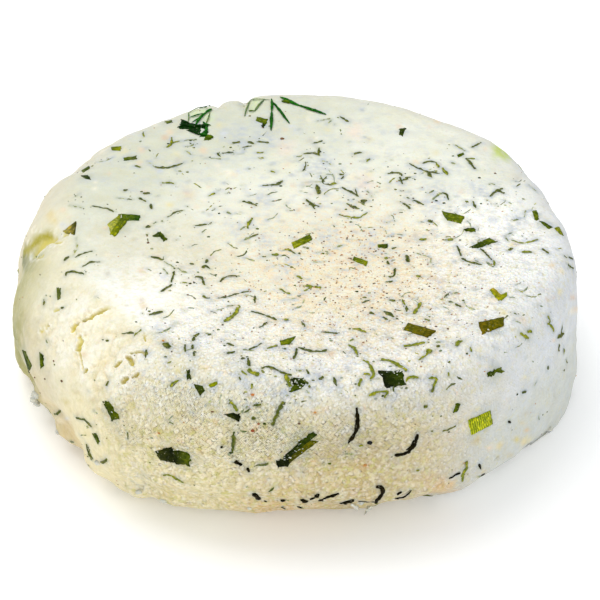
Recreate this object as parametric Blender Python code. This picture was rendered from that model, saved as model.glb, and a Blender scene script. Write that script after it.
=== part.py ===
"""Herbed basket cheese: a round of fresh curd with chopped green onion and dill, and two dill sprigs on its rim.

The round starts as an evenly faced ball. Each of its points is pressed to the form of a cloth-lined basket,
then gets the lumps, cracks and ragged foot that soft curd keeps when it is turned out. Herbs are strips that
follow the skin, and the small ones are joined to the round. Lengths are in metres, +Z is up, -Y is the front,
and the origin is the middle of the flat underside.

A place on the skin is an angle about +Z, in degrees from +X, and a share: 0 is the middle of the top, 1 the
middle of the underside, measured along the skin. A heading is in degrees too: 0 runs round the wheel towards
larger angles, and 90 runs away from the middle of the top.
"""

import math
import random

import bmesh
import bpy
from mathutils import Vector, noise
from mathutils.bvhtree import BVHTree

MM = 0.001

# The pressed round
WIDTH = 150 * MM
HEIGHT = 46 * MM
OUTLINE_WAVES = (  # waves in one turn, how far each crest stands out, the angle of the first crest
    (2, 2.3 * MM, 94),
    (3, 0.5 * MM, 10),
    (4, 0.6 * MM, 65),
    (5, 0.5 * MM, 22),
    (7, 0.8 * MM, 40),
)
SHOULDER = 15 * MM  # rounding of the upper edge
SHOULDER_LEAN = 6.7 * MM  # how much rounder it is on the left, where the curd slumped
FOOT = 8.3 * MM  # rounding of the lower edge
FOOT_LEAN = 9.8 * MM
FOOT_LEAN_ANGLE = 226
FOOT_OVAL = 7.0 * MM
FOOT_OVAL_ANGLE = 101
FOOT_LEAST = 1.5 * MM

# Relief of the curd
LUMP_SPACING = 21 * MM
LUMP_HEIGHT = 0.7 * MM
CURD_SPACING = 5.5 * MM
CURD_HEIGHT = 0.45 * MM
CRACK_WANDER = 0.7 * MM
CRACKS = (  # angle, share, heading, length, width, depth
    (219, 0.34, -78, 7.0 * MM, 2.2 * MM, 1.7 * MM),
    (218, 0.372, -70, 6.5 * MM, 2.6 * MM, 2.2 * MM),
    (220, 0.392, 33, 6.5 * MM, 3.0 * MM, 2.4 * MM),
    (224, 0.415, 35, 9.5 * MM, 2.2 * MM, 1.4 * MM),
    (236, 0.36, -35, 5.0 * MM, 2.0 * MM, 1.3 * MM),
    (234, 0.375, -88, 4.0 * MM, 2.6 * MM, 2.0 * MM),
    (238, 0.38, -65, 3.4 * MM, 2.4 * MM, 1.8 * MM),
    (236, 0.402, 88, 3.4 * MM, 2.6 * MM, 1.8 * MM),
    (180, 0.365, 25, 11.0 * MM, 3.6 * MM, 1.1 * MM),
    (208, 0.38, 15, 5.0 * MM, 2.4 * MM, 1.2 * MM),
    (102, 0.335, 60, 7.0 * MM, 3.2 * MM, 0.9 * MM),
    (106.8, 0.37, 90, 16.0 * MM, 2.6 * MM, 1.5 * MM),
    (100.5, 0.37, 90, 16.0 * MM, 3.2 * MM, 2.0 * MM),
    (143, 0.40, 60, 9.0 * MM, 2.6 * MM, 1.6 * MM),
    (58, 0.43, -20, 11.0 * MM, 2.6 * MM, 1.6 * MM),
    (20, 0.44, 75, 7.0 * MM, 2.2 * MM, 1.2 * MM),
)
RAGGED_FROM, RAGGED_TO = 196, 262  # angles between which the foot is ragged
RAGGED_SHARE = 0.525
RAGGED_DEPTH = 2.2 * MM
RIM_BACK = (  # angle, how far the rim stands back there, in mm
    (0, 1.3), (5, 1.3), (9, 1.7), (19, 1.4), (25, 1.9), (30, 1.8), (36, 1.4), (43, 1.2), (49, 1.1), (56, 0.8), (61, 0.4),
    (66, 0.0), (80, 0.3), (86, 0.9), (97, 0.9), (101, 1.0), (104, 0.5), (108, 0.6), (112, 0.0), (123, 0.4), (131, 0.7),
    (137, 1.2), (143, 1.8), (150, 1.8), (154, 0.4), (158, 0.0), (170, 0.3), (175, 1.4), (178, 1.9), (182, 2.0),
    (185, 0.9), (190, 0.0), (335, 0.0), (350, 0.3), (360, 1.3),
)
WALL_OUT = (  # angle, how far the wall bulges there, in mm
    (0, 0.3), (4, 0.0), (338, 0.0), (346, 0.7), (352, 1.1), (357, 0.8), (360, 0.3),
)
FOOT_BACK = (  # angle, how far the foot is pressed in there, in mm
    (0, 0.0), (184, 0.4), (187, 1.3), (192, 3.0), (197, 3.4), (200, 2.4), (207, 2.6), (210, 1.2), (213, 2.0), (217, 1.7),
    (222, 2.2), (225, 0.5), (229, 0.5), (233, 0.0), (238, 0.2), (241, 1.3), (246, 0.5), (250, 1.2), (256, 1.5),
    (286, 1.5), (289, 2.3), (293, 2.4), (298, 2.9), (303, 1.4), (307, 1.2), (311, 1.7), (316, 1.8), (321, 2.4),
    (330, 2.5), (336, 1.7), (339, 0.5), (345, 0.2), (351, 0.8), (356, 0.7), (360, 0.0),
)
FOOT_BACK_FROM = ((0, 0.49), (246, 0.49), (286, 0.56), (360, 0.56))  # angle, the share below which it is pressed in
CRUMBS = (  # angle, share, radius
    (206, 0.535, 1.8 * MM),
    (213, 0.55, 1.3 * MM),
    (230, 0.575, 1.7 * MM),
    (245, 0.565, 1.5 * MM),
    (285, 0.59, 1.3 * MM),
    (325, 0.60, 1.2 * MM),
    (12, 0.595, 1.5 * MM),
    (74, 0.60, 1.3 * MM),
    (131, 0.59, 1.6 * MM),
)

# Chopped green onion: angle, share, heading, length, width of the cuts that catch the eye
ONION_CUTS = (
    (180, 0.24, 47, 8.0 * MM, 4.2 * MM),
    (290, 0.05, -19, 6.6 * MM, 3.2 * MM),
    (5, 0.23, -65, 6.2 * MM, 4.2 * MM),
    (350, 0.26, 60, 7.6 * MM, 2.8 * MM),
    (315, 0.13, 82, 4.4 * MM, 2.5 * MM),
    (328, 0.32, 90, 5.0 * MM, 3.2 * MM),
    (32, 0.35, -22, 6.4 * MM, 3.8 * MM),
    (304, 0.30, 64, 8.2 * MM, 4.0 * MM),
    (316, 0.36, 15, 8.0 * MM, 4.3 * MM),
    (311, 0.41, 12, 6.0 * MM, 1.9 * MM),
    (307, 0.48, 6, 8.6 * MM, 5.6 * MM),
    (290, 0.38, 49, 5.6 * MM, 4.4 * MM),
    (236, 0.44, 23, 5.6 * MM, 3.0 * MM),
    (250, 0.48, -5, 9.0 * MM, 4.4 * MM),
    (251, 0.23, -78, 7.6 * MM, 2.2 * MM),
    (272, 0.46, -34, 11.5 * MM, 2.6 * MM),
    (203, 0.47, 28, 6.0 * MM, 3.0 * MM),
)
ONION_SCATTER = 20
ONION_LENGTHS = (4.0 * MM, 8.5 * MM)
ONION_WIDTHS = (2.4 * MM, 4.2 * MM)
ONION_PROUD = 0.45 * MM

# Chopped dill
DILL_SCATTER = 66
DILL_LENGTHS = (5.0 * MM, 11.0 * MM)
DILL_WIDTH = 1.0 * MM
DILL_PROUD = 0.5 * MM
DILL_BEND = 35  # most degrees that a shred turns from end to end
ROOTED = 1.1 * MM  # how deep a joined herb goes into the curd
HERB_CLEARANCE = 1.2 * MM
SCATTER_SEED = 11

# Dill sprigs: where the stem ends on the skin, then its needles as (heading, length, bend)
SPRIG_LIFT = 0.35 * MM
SPRIG_THICKNESS = 0.7 * MM
STEM_WIDTH = 1.5 * MM
NEEDLE_WIDTH = 1.1 * MM
SPRIG_STEP = 1.8 * MM
SPRIGS = {
    "dill_sprig_left": {
        "angle": 109.5,
        "share": 0.345,
        "stem": (84, 12.0 * MM),
        "needles": (
            (-22, 9.5 * MM, 18),
            (-24, 15.5 * MM, 22),
            (-46, 14.0 * MM, 4),
            (-62, 10.0 * MM, 6),
            (-79, 17.5 * MM, -8),
        ),
    },
    "dill_sprig_right": {
        "angle": 94.5,
        "share": 0.36,
        "stem": (96, 11.0 * MM),
        "needles": (
            (-42, 16.5 * MM, 36),
            (-64, 12.5 * MM, 4),
            (-88, 22.0 * MM, 0),
            (-106, 19.5 * MM, -6),
            (-126, 21.0 * MM, 20),
        ),
    },
}

BALL_CUTS = 7  # halvings of the ball's faces
ROUND_TRIANGLES = 6000


def clear_scene():
    for thing in list(bpy.data.objects):
        bpy.data.objects.remove(thing)


def collection(name):
    made = bpy.data.collections.new(name)
    bpy.context.scene.collection.children.link(made)
    return made


def material(name, colour, roughness):
    made = bpy.data.materials.new(name)
    made.use_nodes = True
    shader = made.node_tree.nodes["Principled BSDF"]
    shader.inputs["Base Color"].default_value = (*colour, 1)
    shader.inputs["Roughness"].default_value = roughness
    shader.inputs["Metallic"].default_value = 0
    return made


# ---- The form of the basket


def wave(angle, crest, turns):
    """1 at the crest's angle and at each that repeats it, -1 midway between them."""
    return math.cos(turns * math.radians(angle - crest))


def wall_radius(angle):
    return WIDTH / 2 + sum(h * wave(angle, crest, turns) for turns, h, crest in OUTLINE_WAVES)


def shoulder_radius(angle):
    return SHOULDER + SHOULDER_LEAN * wave(angle, 180, 1)


def foot_radius(angle):
    lean = FOOT_LEAN * wave(angle, FOOT_LEAN_ANGLE, 1)
    oval = FOOT_OVAL * wave(angle, FOOT_OVAL_ANGLE, 2)
    return max(FOOT_LEAST, FOOT + lean + oval)


def form_point(angle, share):
    """A point of the smooth pressed form, and its outward direction."""
    wall, shoulder, foot = wall_radius(angle), shoulder_radius(angle), foot_radius(angle)
    quarter = math.pi / 2
    runs = (wall - shoulder, shoulder * quarter, HEIGHT - shoulder - foot, foot * quarter, wall - foot)
    left = share * sum(runs)
    number = 0
    while number < len(runs) - 1 and left > runs[number]:
        left -= runs[number]
        number += 1
    if number == 0:
        radius, height, tilt = left, HEIGHT, 0
    elif number == 1:
        tilt = left / shoulder
        radius = wall - shoulder + shoulder * math.sin(tilt)
        height = HEIGHT - shoulder + shoulder * math.cos(tilt)
    elif number == 2:
        radius, height, tilt = wall, HEIGHT - shoulder - left, quarter
    elif number == 3:
        tilt = quarter + left / foot
        radius = wall - foot + foot * math.sin(tilt)
        height = foot + foot * math.cos(tilt)
    else:
        radius, height, tilt = max(0, wall - foot - left), 0, math.pi
    turn = math.radians(angle)
    outward = Vector((math.cos(turn), math.sin(turn), 0))
    point = outward * radius + Vector((0, 0, height))
    return point, outward * math.sin(tilt) + Vector((0, 0, math.cos(tilt)))


def skin_frame(angle, share):
    """A point of the form with its outward, round and down directions."""
    point, out = form_point(angle, share)
    turn = math.radians(angle)
    around = Vector((-math.sin(turn), math.cos(turn), 0))
    return point, out, around, around.cross(out)


def smoothstep(low, high, value):
    t = min(1, max(0, (value - low) / (high - low)))
    return t * t * (3 - 2 * t)


# ---- The relief of the curd


def crack_depth(point, crack):
    angle, share, heading, length, width, depth = crack
    middle, out, around, down = skin_frame(angle, share)
    offset = point - middle
    if offset.length > length:
        return 0
    turn = math.radians(heading)
    along = offset.dot(around * math.cos(turn) + down * math.sin(turn))
    across = offset.dot(down * math.cos(turn) - around * math.sin(turn))
    across += CRACK_WANDER * noise.noise(point / (2.5 * MM))
    reach = (2 * along / length) ** 2 + (2 * across / width) ** 2
    return depth * math.exp(-1.2 * reach)


def ragged_step(angle, share, point):
    """The foot's curd broke away under a ragged line, so the skin steps back below it."""
    within = smoothstep(RAGGED_FROM, RAGGED_FROM + 12, angle) - smoothstep(RAGGED_TO - 12, RAGGED_TO, angle)
    line = RAGGED_SHARE + 0.03 * noise.noise(point / (9 * MM))
    return RAGGED_DEPTH * within * (smoothstep(line, line + 0.02, share) - smoothstep(line + 0.05, line + 0.09, share))


def between(table, angle):
    """The value at an angle, on straight lines between a table's rows."""
    for (before, first), (after, last) in zip(table, table[1:]):
        if angle <= after:
            return first + (last - first) * (angle - before) / (after - before)
    return table[-1][1]


def uneven_outline(angle, share, point):
    """How far the rim and the foot stand back and the wall bulges, round the turn."""
    rim = between(RIM_BACK, angle) * (smoothstep(0.27, 0.35, share) - smoothstep(0.47, 0.53, share))
    bulge = between(WALL_OUT, angle) * (smoothstep(0.42, 0.47, share) - smoothstep(0.58, 0.62, share))
    start = between(FOOT_BACK_FROM, angle)
    foot = between(FOOT_BACK, angle) * (1 + 0.4 * noise.noise(point / (5 * MM))) * smoothstep(start, start + 0.05, share)
    return (bulge - rim - foot) * MM


def relief(point, out, angle, share):
    """How far the curd's skin stands out from the form."""
    lumps = LUMP_HEIGHT * noise.noise(point / LUMP_SPACING)
    wall_part = smoothstep(0.28, 0.42, share)
    curds = CURD_HEIGHT * (0.25 + 0.75 * wall_part) * noise.noise(point / CURD_SPACING + Vector((7, 3, 1)))
    cracks = sum(crack_depth(point, crack) for crack in CRACKS)
    return lumps + curds - cracks - ragged_step(angle, share, point) + uneven_outline(angle, share, point)


def pressed_round():
    """The round of curd: a ball pressed to the form, with its relief, on a flat underside."""
    bpy.ops.mesh.primitive_ico_sphere_add(subdivisions=BALL_CUTS, radius=1)
    ball = bpy.context.object
    for vertex in ball.data.vertices:
        from_top = math.acos(max(-1, min(1, vertex.co.z / vertex.co.length)))
        angle = math.degrees(math.atan2(vertex.co.y, vertex.co.x)) % 360
        share = from_top / math.pi
        point, out = form_point(angle, share)
        on_underside = point.z < 1e-9
        if not on_underside:
            point += out * relief(point, out, angle, share)
            point.z = max(0, point.z)
        vertex.co = point
    fewer = ball.modifiers.new("fewer", "DECIMATE")
    fewer.ratio = ROUND_TRIANGLES / len(ball.data.polygons)
    made = evaluated_mesh(ball, "cheese")
    bpy.data.objects.remove(ball)
    return made


def evaluated_mesh(source, name):
    """The source as its modifiers leave it, as a mesh."""
    bpy.context.view_layer.update()
    graph = bpy.context.evaluated_depsgraph_get()
    made = bpy.data.meshes.new_from_object(source.evaluated_get(graph))
    made.name = name
    return made


def tree_of(mesh):
    return BVHTree.FromPolygons([v.co for v in mesh.vertices], [tuple(p.vertices) for p in mesh.polygons])


# ---- Herbs


class Skin:
    """The curd's skin, which herbs are laid on."""

    FAR = 12 * MM

    def __init__(self, mesh):
        self.tree = tree_of(mesh)
        form = bpy.data.meshes.new("form")
        shaper = bmesh.new()
        bmesh.ops.create_icosphere(shaper, subdivisions=6, radius=1)
        for vertex in shaper.verts:
            from_top = math.acos(max(-1, min(1, vertex.co.z / vertex.co.length)))
            angle = math.degrees(math.atan2(vertex.co.y, vertex.co.x)) % 360
            vertex.co = form_point(angle, from_top / math.pi)[0]
        shaper.to_mesh(form)
        shaper.free()
        self.form = tree_of(form)
        bpy.data.meshes.remove(form)

    def settle(self, point):
        """The skin's point beside this one, and the form's outward direction there."""
        near, out, _, _ = self.form.find_nearest(point)
        hit = self.tree.ray_cast(near + out * self.FAR, -out)[0]
        return (hit if hit is not None else near), out

    def path(self, angle, share, heading, length, bend, step, centred):
        """Stations (point, outward, forward) along a run on the skin, which turns by bend in all."""
        start, out, around, down = skin_frame(angle, share)
        turn = math.radians(heading)
        forward = around * math.cos(turn) + down * math.sin(turn)
        count = max(2, round(length / step))
        if centred:
            start = start - forward * length / 2
        point, out = self.settle(start)
        stations = []
        for number in range(count + 1):
            forward = (forward - out * forward.dot(out)).normalized()
            stations.append((point, out, forward))
            turned = math.radians(bend) / count
            forward = forward * math.cos(turned) + out.cross(forward) * math.sin(turned)
            point, out = self.settle(point + forward * length / count)
        return stations


def strip(name, stations, width, low, high, tip, group):
    """A closed strip along the stations, from low to high above the skin, tapering to tip times its width."""
    count = len(stations) - 1
    shaper = bmesh.new()
    bmesh.ops.create_cube(shaper, size=1)
    long_edges = [e for e in shaper.edges if abs(e.verts[0].co.x - e.verts[1].co.x) > 0.5]
    bmesh.ops.subdivide_edges(shaper, edges=long_edges, cuts=count - 1)
    for vertex in shaper.verts:
        along, across, up = vertex.co + Vector((0.5, 0, 0.5))
        point, out, forward = stations[round(along * count)]
        half = width * (1 + (tip - 1) * along**3)
        vertex.co = point + out.cross(forward) * across * half + out * (low + (high - low) * up)
    mesh = bpy.data.meshes.new(name)
    shaper.to_mesh(mesh)
    shaper.free()
    made = bpy.data.objects.new(name, mesh)
    group.objects.link(made)
    return made


def crumb(number, angle, share, radius, skin, group):
    """A crumb of curd stuck to the foot."""
    point, out = skin.settle(form_point(angle, share)[0])
    shaper = bmesh.new()
    bmesh.ops.create_icosphere(shaper, subdivisions=2, radius=radius)
    for vertex in shaper.verts:
        vertex.co *= 1 + 0.45 * noise.noise(vertex.co / (0.8 * radius) + Vector((number, 0, 0)))
        vertex.co += point + out * radius * 0.25
        vertex.co.z = max(0.3 * MM, vertex.co.z)
    mesh = bpy.data.meshes.new(f"crumb_{number}")
    shaper.to_mesh(mesh)
    shaper.free()
    group.objects.link(bpy.data.objects.new(mesh.name, mesh))


def clear_of(stations, taken):
    """True if these stations are clear of all that are taken."""
    return all(
        (point - other).length > reach + HERB_CLEARANCE for point, _, _ in stations for other, reach in taken
    )


def take(stations, width, taken):
    taken.extend((point, width) for point, _, _ in stations)


def scatter_places(count, draw, first_share, last_share):
    """Places spread evenly over the skin between two shares, by a turn of the golden angle for each."""
    golden = 137.508
    for number in range(count):
        reached = (number + 0.5) / count
        share = first_share + (last_share - first_share) * reached**0.62
        yield (number * golden + draw.uniform(-9, 9)) % 360, share


def lay_joined_herbs(skin, taken, group):
    """Green onion and dill that are pressed into the curd, the largest first."""
    draw = random.Random(SCATTER_SEED)
    laid = 0
    for angle, share, heading, length, width in ONION_CUTS:
        stations = skin.path(angle, share, heading, length, 0, 3.0 * MM, True)
        if clear_of(stations, taken):
            strip(f"onion_{laid}", stations, width, -ROOTED, ONION_PROUD, 0.96, group)
            take(stations, width / 2 + 0.6 * MM, taken)
            laid += 1
    for angle, share in scatter_places(ONION_SCATTER, draw, 0.10, 0.58):
        length, width = draw.uniform(*ONION_LENGTHS), draw.uniform(*ONION_WIDTHS)
        stations = skin.path(angle, share, draw.uniform(-90, 90), length, 0, 3.0 * MM, True)
        if clear_of(stations, taken):
            strip(f"onion_{laid}", stations, width, -ROOTED, ONION_PROUD, 0.9, group)
            take(stations, width / 2 + 0.6 * MM, taken)
            laid += 1
    for angle, share in scatter_places(DILL_SCATTER, draw, 0.03, 0.56):
        length, bend = draw.uniform(*DILL_LENGTHS), draw.uniform(-DILL_BEND, DILL_BEND)
        stations = skin.path(angle, share, draw.uniform(-90, 90), length, bend, 2.8 * MM, True)
        if clear_of(stations, taken):
            strip(f"dill_{laid}", stations, DILL_WIDTH, -ROOTED, DILL_PROUD, 0.6, group)
            take(stations, DILL_WIDTH, taken)
            laid += 1
    return laid


def sprig_paths(skin, sprig):
    """The stem's stations, then each needle's, all from the sprig's joint."""
    heading, length = sprig["stem"]
    stem = skin.path(sprig["angle"], sprig["share"], heading, length, 0, SPRIG_STEP, False)
    needles = [
        skin.path(sprig["angle"], sprig["share"], heading, length, bend, SPRIG_STEP, False)
        for heading, length, bend in sprig["needles"]
    ]
    return stem, needles


def join(name, mesh, group, home, finish):
    """The mesh joined with all that is in the group, as one object. The group's objects are removed."""
    made = bpy.data.objects.new(name, mesh)
    home.objects.link(made)
    union = made.modifiers.new("join", "BOOLEAN")
    union.operation = "UNION"
    union.operand_type = "COLLECTION"
    union.collection = group
    union.solver = "MANIFOLD"
    whole = evaluated_mesh(made, name)
    made.modifiers.clear()
    made.data = whole
    for thing in list(group.objects):
        bpy.data.objects.remove(thing)
    whole.materials.clear()
    whole.materials.append(finish)
    whole.shade_smooth()
    whole.set_sharp_from_angle(angle=math.radians(40))
    return made


def sprig_object(name, paths, home, group, finish):
    """A dill sprig: flat needles that fan from the end of its stem, lying just clear of the curd."""
    stem, needles = paths
    low, high = SPRIG_LIFT, SPRIG_LIFT + SPRIG_THICKNESS
    root = strip(name, stem, STEM_WIDTH, low, high + 0.3 * MM, 0.7, group)
    mesh = root.data.copy()
    bpy.data.objects.remove(root)
    for number, stations in enumerate(needles):
        raised = high + 0.04 * MM * (number + 1)
        strip(f"{name}_{number}", stations, NEEDLE_WIDTH, low, raised, 0.45, group)
    return join(name, mesh, group, home, finish)


def main():
    clear_scene()
    home = collection("herbed_basket_cheese")
    loose = collection("to_join")
    curd = material("curd", (0.86, 0.83, 0.70), 0.6)
    dill = material("dill", (0.07, 0.15, 0.02), 0.55)

    mesh = pressed_round()
    bare_skin = Skin(mesh)
    taken = []
    sprigs = {name: sprig_paths(bare_skin, sprig) for name, sprig in SPRIGS.items()}
    for stem, needles in sprigs.values():
        for stations in (stem, *needles):
            take(stations, STEM_WIDTH, taken)
    laid = lay_joined_herbs(bare_skin, taken, loose)
    for number, (angle, share, radius) in enumerate(CRUMBS):
        crumb(number, angle, share, radius, bare_skin, loose)
    join("cheese", mesh, loose, home, curd)
    for name, paths in sprigs.items():
        sprig_object(name, paths, home, loose, dill)
    print(f"{laid} herb pieces are joined to the round")


main()
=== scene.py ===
# %% [markdown]
# # A herbed basket cheese
#
# This lesson dresses a packed model of a fresh cheese. The curd was pressed in a cloth-lined basket, so it is a
# low round with soft shoulders, and chopped green onion, dill and pepper sit in its skin. The packed model gives
# the place and size of everything, so we load it first.

# %% Load the packed model
import math
import random

import bmesh
import bpy
import numpy as np
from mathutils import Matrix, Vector, noise
from mathutils.bvhtree import BVHTree
from mathutils.kdtree import KDTree


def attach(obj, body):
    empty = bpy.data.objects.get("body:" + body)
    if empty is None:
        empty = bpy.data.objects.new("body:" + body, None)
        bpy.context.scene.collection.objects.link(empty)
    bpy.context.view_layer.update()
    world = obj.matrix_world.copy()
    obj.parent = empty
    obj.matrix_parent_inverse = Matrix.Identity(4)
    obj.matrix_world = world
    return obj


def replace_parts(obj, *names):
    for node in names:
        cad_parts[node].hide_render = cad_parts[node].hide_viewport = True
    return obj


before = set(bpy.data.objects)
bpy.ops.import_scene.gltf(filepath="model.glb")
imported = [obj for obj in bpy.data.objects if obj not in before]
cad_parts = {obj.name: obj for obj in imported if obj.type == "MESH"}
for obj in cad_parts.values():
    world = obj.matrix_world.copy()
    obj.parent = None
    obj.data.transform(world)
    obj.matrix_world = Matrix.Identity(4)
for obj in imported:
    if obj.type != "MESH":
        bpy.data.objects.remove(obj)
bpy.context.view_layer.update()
MM = 0.001
print("packed nodes:", sorted(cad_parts))

# %% [markdown]
# ## The camera
#
# A long lens from a little way off keeps the round's sides nearly parallel. It could be turned to the subject with
# a constraint, but a fixed place and direction let us work out the line of sight through any place in the frame,
# which we use later to set each herb down where it shows.

# %% Camera
FRAME_SIDE = 600
LENS, SENSOR = 173.4, 36.0
ELEVATION = math.radians(34)
DISTANCE = 750 * MM
AIM_HEIGHT, AIM_RIGHT, AIM_DOWN = 23, 2.54, 0.47  # mm from the middle of the underside
NEAREST = 10 * MM

VIEW = Vector((0, math.cos(ELEVATION), -math.sin(ELEVATION)))
RIGHT = Vector((1, 0, 0))
UP = RIGHT.cross(VIEW)
EYE = Vector((0, 0, AIM_HEIGHT * MM)) + RIGHT * AIM_RIGHT * MM - UP * AIM_DOWN * MM - VIEW * DISTANCE
PIXEL = SENSOR / LENS / FRAME_SIDE


def placed(name, data):
    """A new object of the scene that holds this data."""
    made = bpy.data.objects.new(name, data)
    bpy.context.scene.collection.objects.link(made)
    return made


camera = placed("camera", bpy.data.cameras.new("camera"))
camera.location = EYE
camera.rotation_euler = VIEW.to_track_quat("-Z", "Y").to_euler()
camera.data.lens, camera.data.sensor_width = LENS, SENSOR
camera.data.clip_start = NEAREST
bpy.context.scene.camera = camera


def in_picture(points):
    """Where points of the scene fall in the frame: across and down, in pixels."""
    sight = np.asarray(points) - np.array(EYE)
    depth = sight @ np.array(VIEW) * PIXEL
    return FRAME_SIDE / 2 + sight @ np.array(RIGHT) / depth, FRAME_SIDE / 2 - sight @ np.array(UP) / depth


print(f"one frame pixel is {PIXEL * DISTANCE / MM:.2f} mm at the cheese")

# %% [markdown]
# ## Floor and light
#
# A dairy counter is pale and lit softly from above. One large area light behind and to the left models the round,
# a weaker one in front opens up the wall, and a pale world fills the rest. Plain lamps with hard edges would be
# quicker to render, but they would cut the soft curd into bright and dark.


# %% Floor and lights
def pigment(red, green, blue):
    """A colour given as screen values from 0 to 255, as the linear values that shaders take."""
    parts = []
    for value in (red, green, blue):
        share = value / 255
        parts.append(share / 12.92 if share <= 0.04045 else ((share + 0.055) / 1.055) ** 2.4)
    return tuple(parts)


def as_mesh(name, shape):
    """The mesh of a finished bmesh."""
    mesh = bpy.data.meshes.new(name)
    shape.to_mesh(mesh)
    shape.free()
    return mesh


LIGHTS = (  # name, place, watts, side, colour
    ("window", (-0.34, 0.22, 1.0), 7.3, 0.9, (1.0, 0.99, 0.97)),
    ("front_fill", (0.12, -1.2, 0.62), 6.4, 1.0, (1.0, 0.98, 0.95)),
    ("right_fill", (1.2, -0.35, 0.6), 1.6, 0.9, (0.93, 0.97, 1.0)),
)
ROOM_COLOUR, ROOM_STRENGTH = (0.93, 0.96, 1.0, 1), 0.57
FLOOR_LOOK = {
    "Base Color": (0.93, 0.93, 0.93, 1),
    "Roughness": 0.9,
    "Emission Color": (1, 1, 1, 1),
    "Emission Strength": 0.16,
}
FLOOR_HALF = 3.0

for name, place, watts, side, colour in LIGHTS:
    data = bpy.data.lights.new(name, "AREA")
    data.energy, data.size, data.color = watts, side, colour
    lamp = placed(name, data)
    lamp.location = place
    lamp.rotation_euler = (-Vector(place)).to_track_quat("-Z", "Y").to_euler()
world = bpy.data.worlds.new("pale_room")
bpy.context.scene.world = world
world.use_nodes = True
room = world.node_tree.nodes["Background"].inputs
room["Color"].default_value, room["Strength"].default_value = ROOM_COLOUR, ROOM_STRENGTH
bpy.context.scene.view_settings.view_transform = "Standard"

floor_shaper = bmesh.new()
bmesh.ops.create_grid(floor_shaper, x_segments=1, y_segments=1, size=FLOOR_HALF)
floor = placed("floor", as_mesh("floor", floor_shaper))
floor_finish = bpy.data.materials.new("pale_floor")
floor_finish.use_nodes = True
for socket, value in FLOOR_LOOK.items():
    floor_finish.node_tree.nodes["Principled BSDF"].inputs[socket].default_value = value
floor.data.materials.append(floor_finish)
print(len(LIGHTS), "soft lights, a pale room and a floor")

# %% [markdown]
# ## The form of the basket
#
# The curd filled a basket and slumped to the left when it was turned out. So the outline wavers a little, the
# upper edge is rounder on the left, and the lower edge is round in front on the left and nearly sharp on the
# right. A turned profile would give one section all round. Instead one rule gives the point for any angle about
# the axis and any share of the way along the skin, from 0 at the middle of the top to 1 under the middle.

# %% The form
WIDTH, HEIGHT = 150 * MM, 46 * MM
OUTLINE_WAVES = (  # waves in one turn, how far each crest stands out, the angle of the first crest
    (2, 2.3 * MM, 94),
    (3, 0.5 * MM, 10),
    (4, 0.6 * MM, 65),
    (5, 0.5 * MM, 22),
    (7, 0.8 * MM, 40),
)
SHOULDER, SHOULDER_LEAN = 15 * MM, 6.7 * MM
FOOT, FOOT_LEAN, FOOT_LEAN_ANGLE = 8.3 * MM, 9.8 * MM, 226
FOOT_OVAL, FOOT_OVAL_ANGLE = 7.0 * MM, 101
FOOT_LEAST = 1.5 * MM


def wave(angles, crest, turns):
    return np.cos(turns * np.radians(angles - crest))


def form(angles, shares):
    """Points of the smooth form and their outward directions, for angles in degrees and shares from 0 to 1."""
    angles, shares = np.broadcast_arrays(np.asarray(angles, float), np.asarray(shares, float))
    wall = WIDTH / 2 + sum(h * wave(angles, crest, turns) for turns, h, crest in OUTLINE_WAVES)
    shoulder = SHOULDER + SHOULDER_LEAN * wave(angles, 180, 1)
    foot = FOOT + FOOT_LEAN * wave(angles, FOOT_LEAN_ANGLE, 1) + FOOT_OVAL * wave(angles, FOOT_OVAL_ANGLE, 2)
    foot = np.maximum(FOOT_LEAST, foot)
    quarter = math.pi / 2
    runs = (wall - shoulder, shoulder * quarter, HEIGHT - shoulder - foot, foot * quarter, wall - foot)
    done = shares * sum(runs)
    spans = []
    for run in runs:
        spans.append(np.clip(done, 0, run))
        done = done - run
    over, under = spans[1] / shoulder, spans[3] / foot
    radius = spans[0] + shoulder * np.sin(over) - foot * (1 - np.cos(under)) - spans[4]
    height = HEIGHT - shoulder * (1 - np.cos(over)) - spans[2] - foot * np.sin(under)
    turn, tilt = np.radians(angles), over + under
    points = np.stack([radius * np.cos(turn), radius * np.sin(turn), height], -1)
    outward = np.stack([np.sin(tilt) * np.cos(turn), np.sin(tilt) * np.sin(turn), np.cos(tilt)], -1)
    return points, outward


print("height of the rim at the right and left:", [round(form(a, 0.36)[0][2] / MM, 1) for a in (0, 180)], "mm")

# %% [markdown]
# ## The skin of the curd
#
# Soft curd keeps everything that touched it. It has broad lumps, small curds on the wall, cracks where the left
# shoulder crumbled, and a ragged step where the foot broke away. Sculpting by hand would do it once. Rules do it
# the same way each time, and each crack keeps a place and a size that can be changed.


# %% Relief rules
def ramp(low, high, values):
    """0 below low, 1 above high, and a smooth rise between them."""
    t = np.clip((values - low) / (high - low), 0, 1)
    return t * t * (3 - 2 * t)


def band(rise, fall, values):
    """1 between a rise and a fall, which are pairs of values, and 0 outside them."""
    return ramp(*rise, values) - ramp(*fall, values)


def within(limits, values):
    return (values > limits[0]) & (values < limits[1])


def grains(points, size, shift=0.0):
    """Smooth noise from -1 to 1 at each point, whose grains are about this size."""
    return np.array([noise.noise(Vector(p)) for p in points / size + shift])


def lumps(points, size, shift=0.0):
    """Rounded lumps with creases between them, 1 on a lump's crown and 0 in a crease."""
    found = [noise.voronoi(Vector(p))[0] for p in points / size + shift]
    return np.array([min(1.0, 1.6 * (d[1] - d[0])) for d in found])


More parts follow.
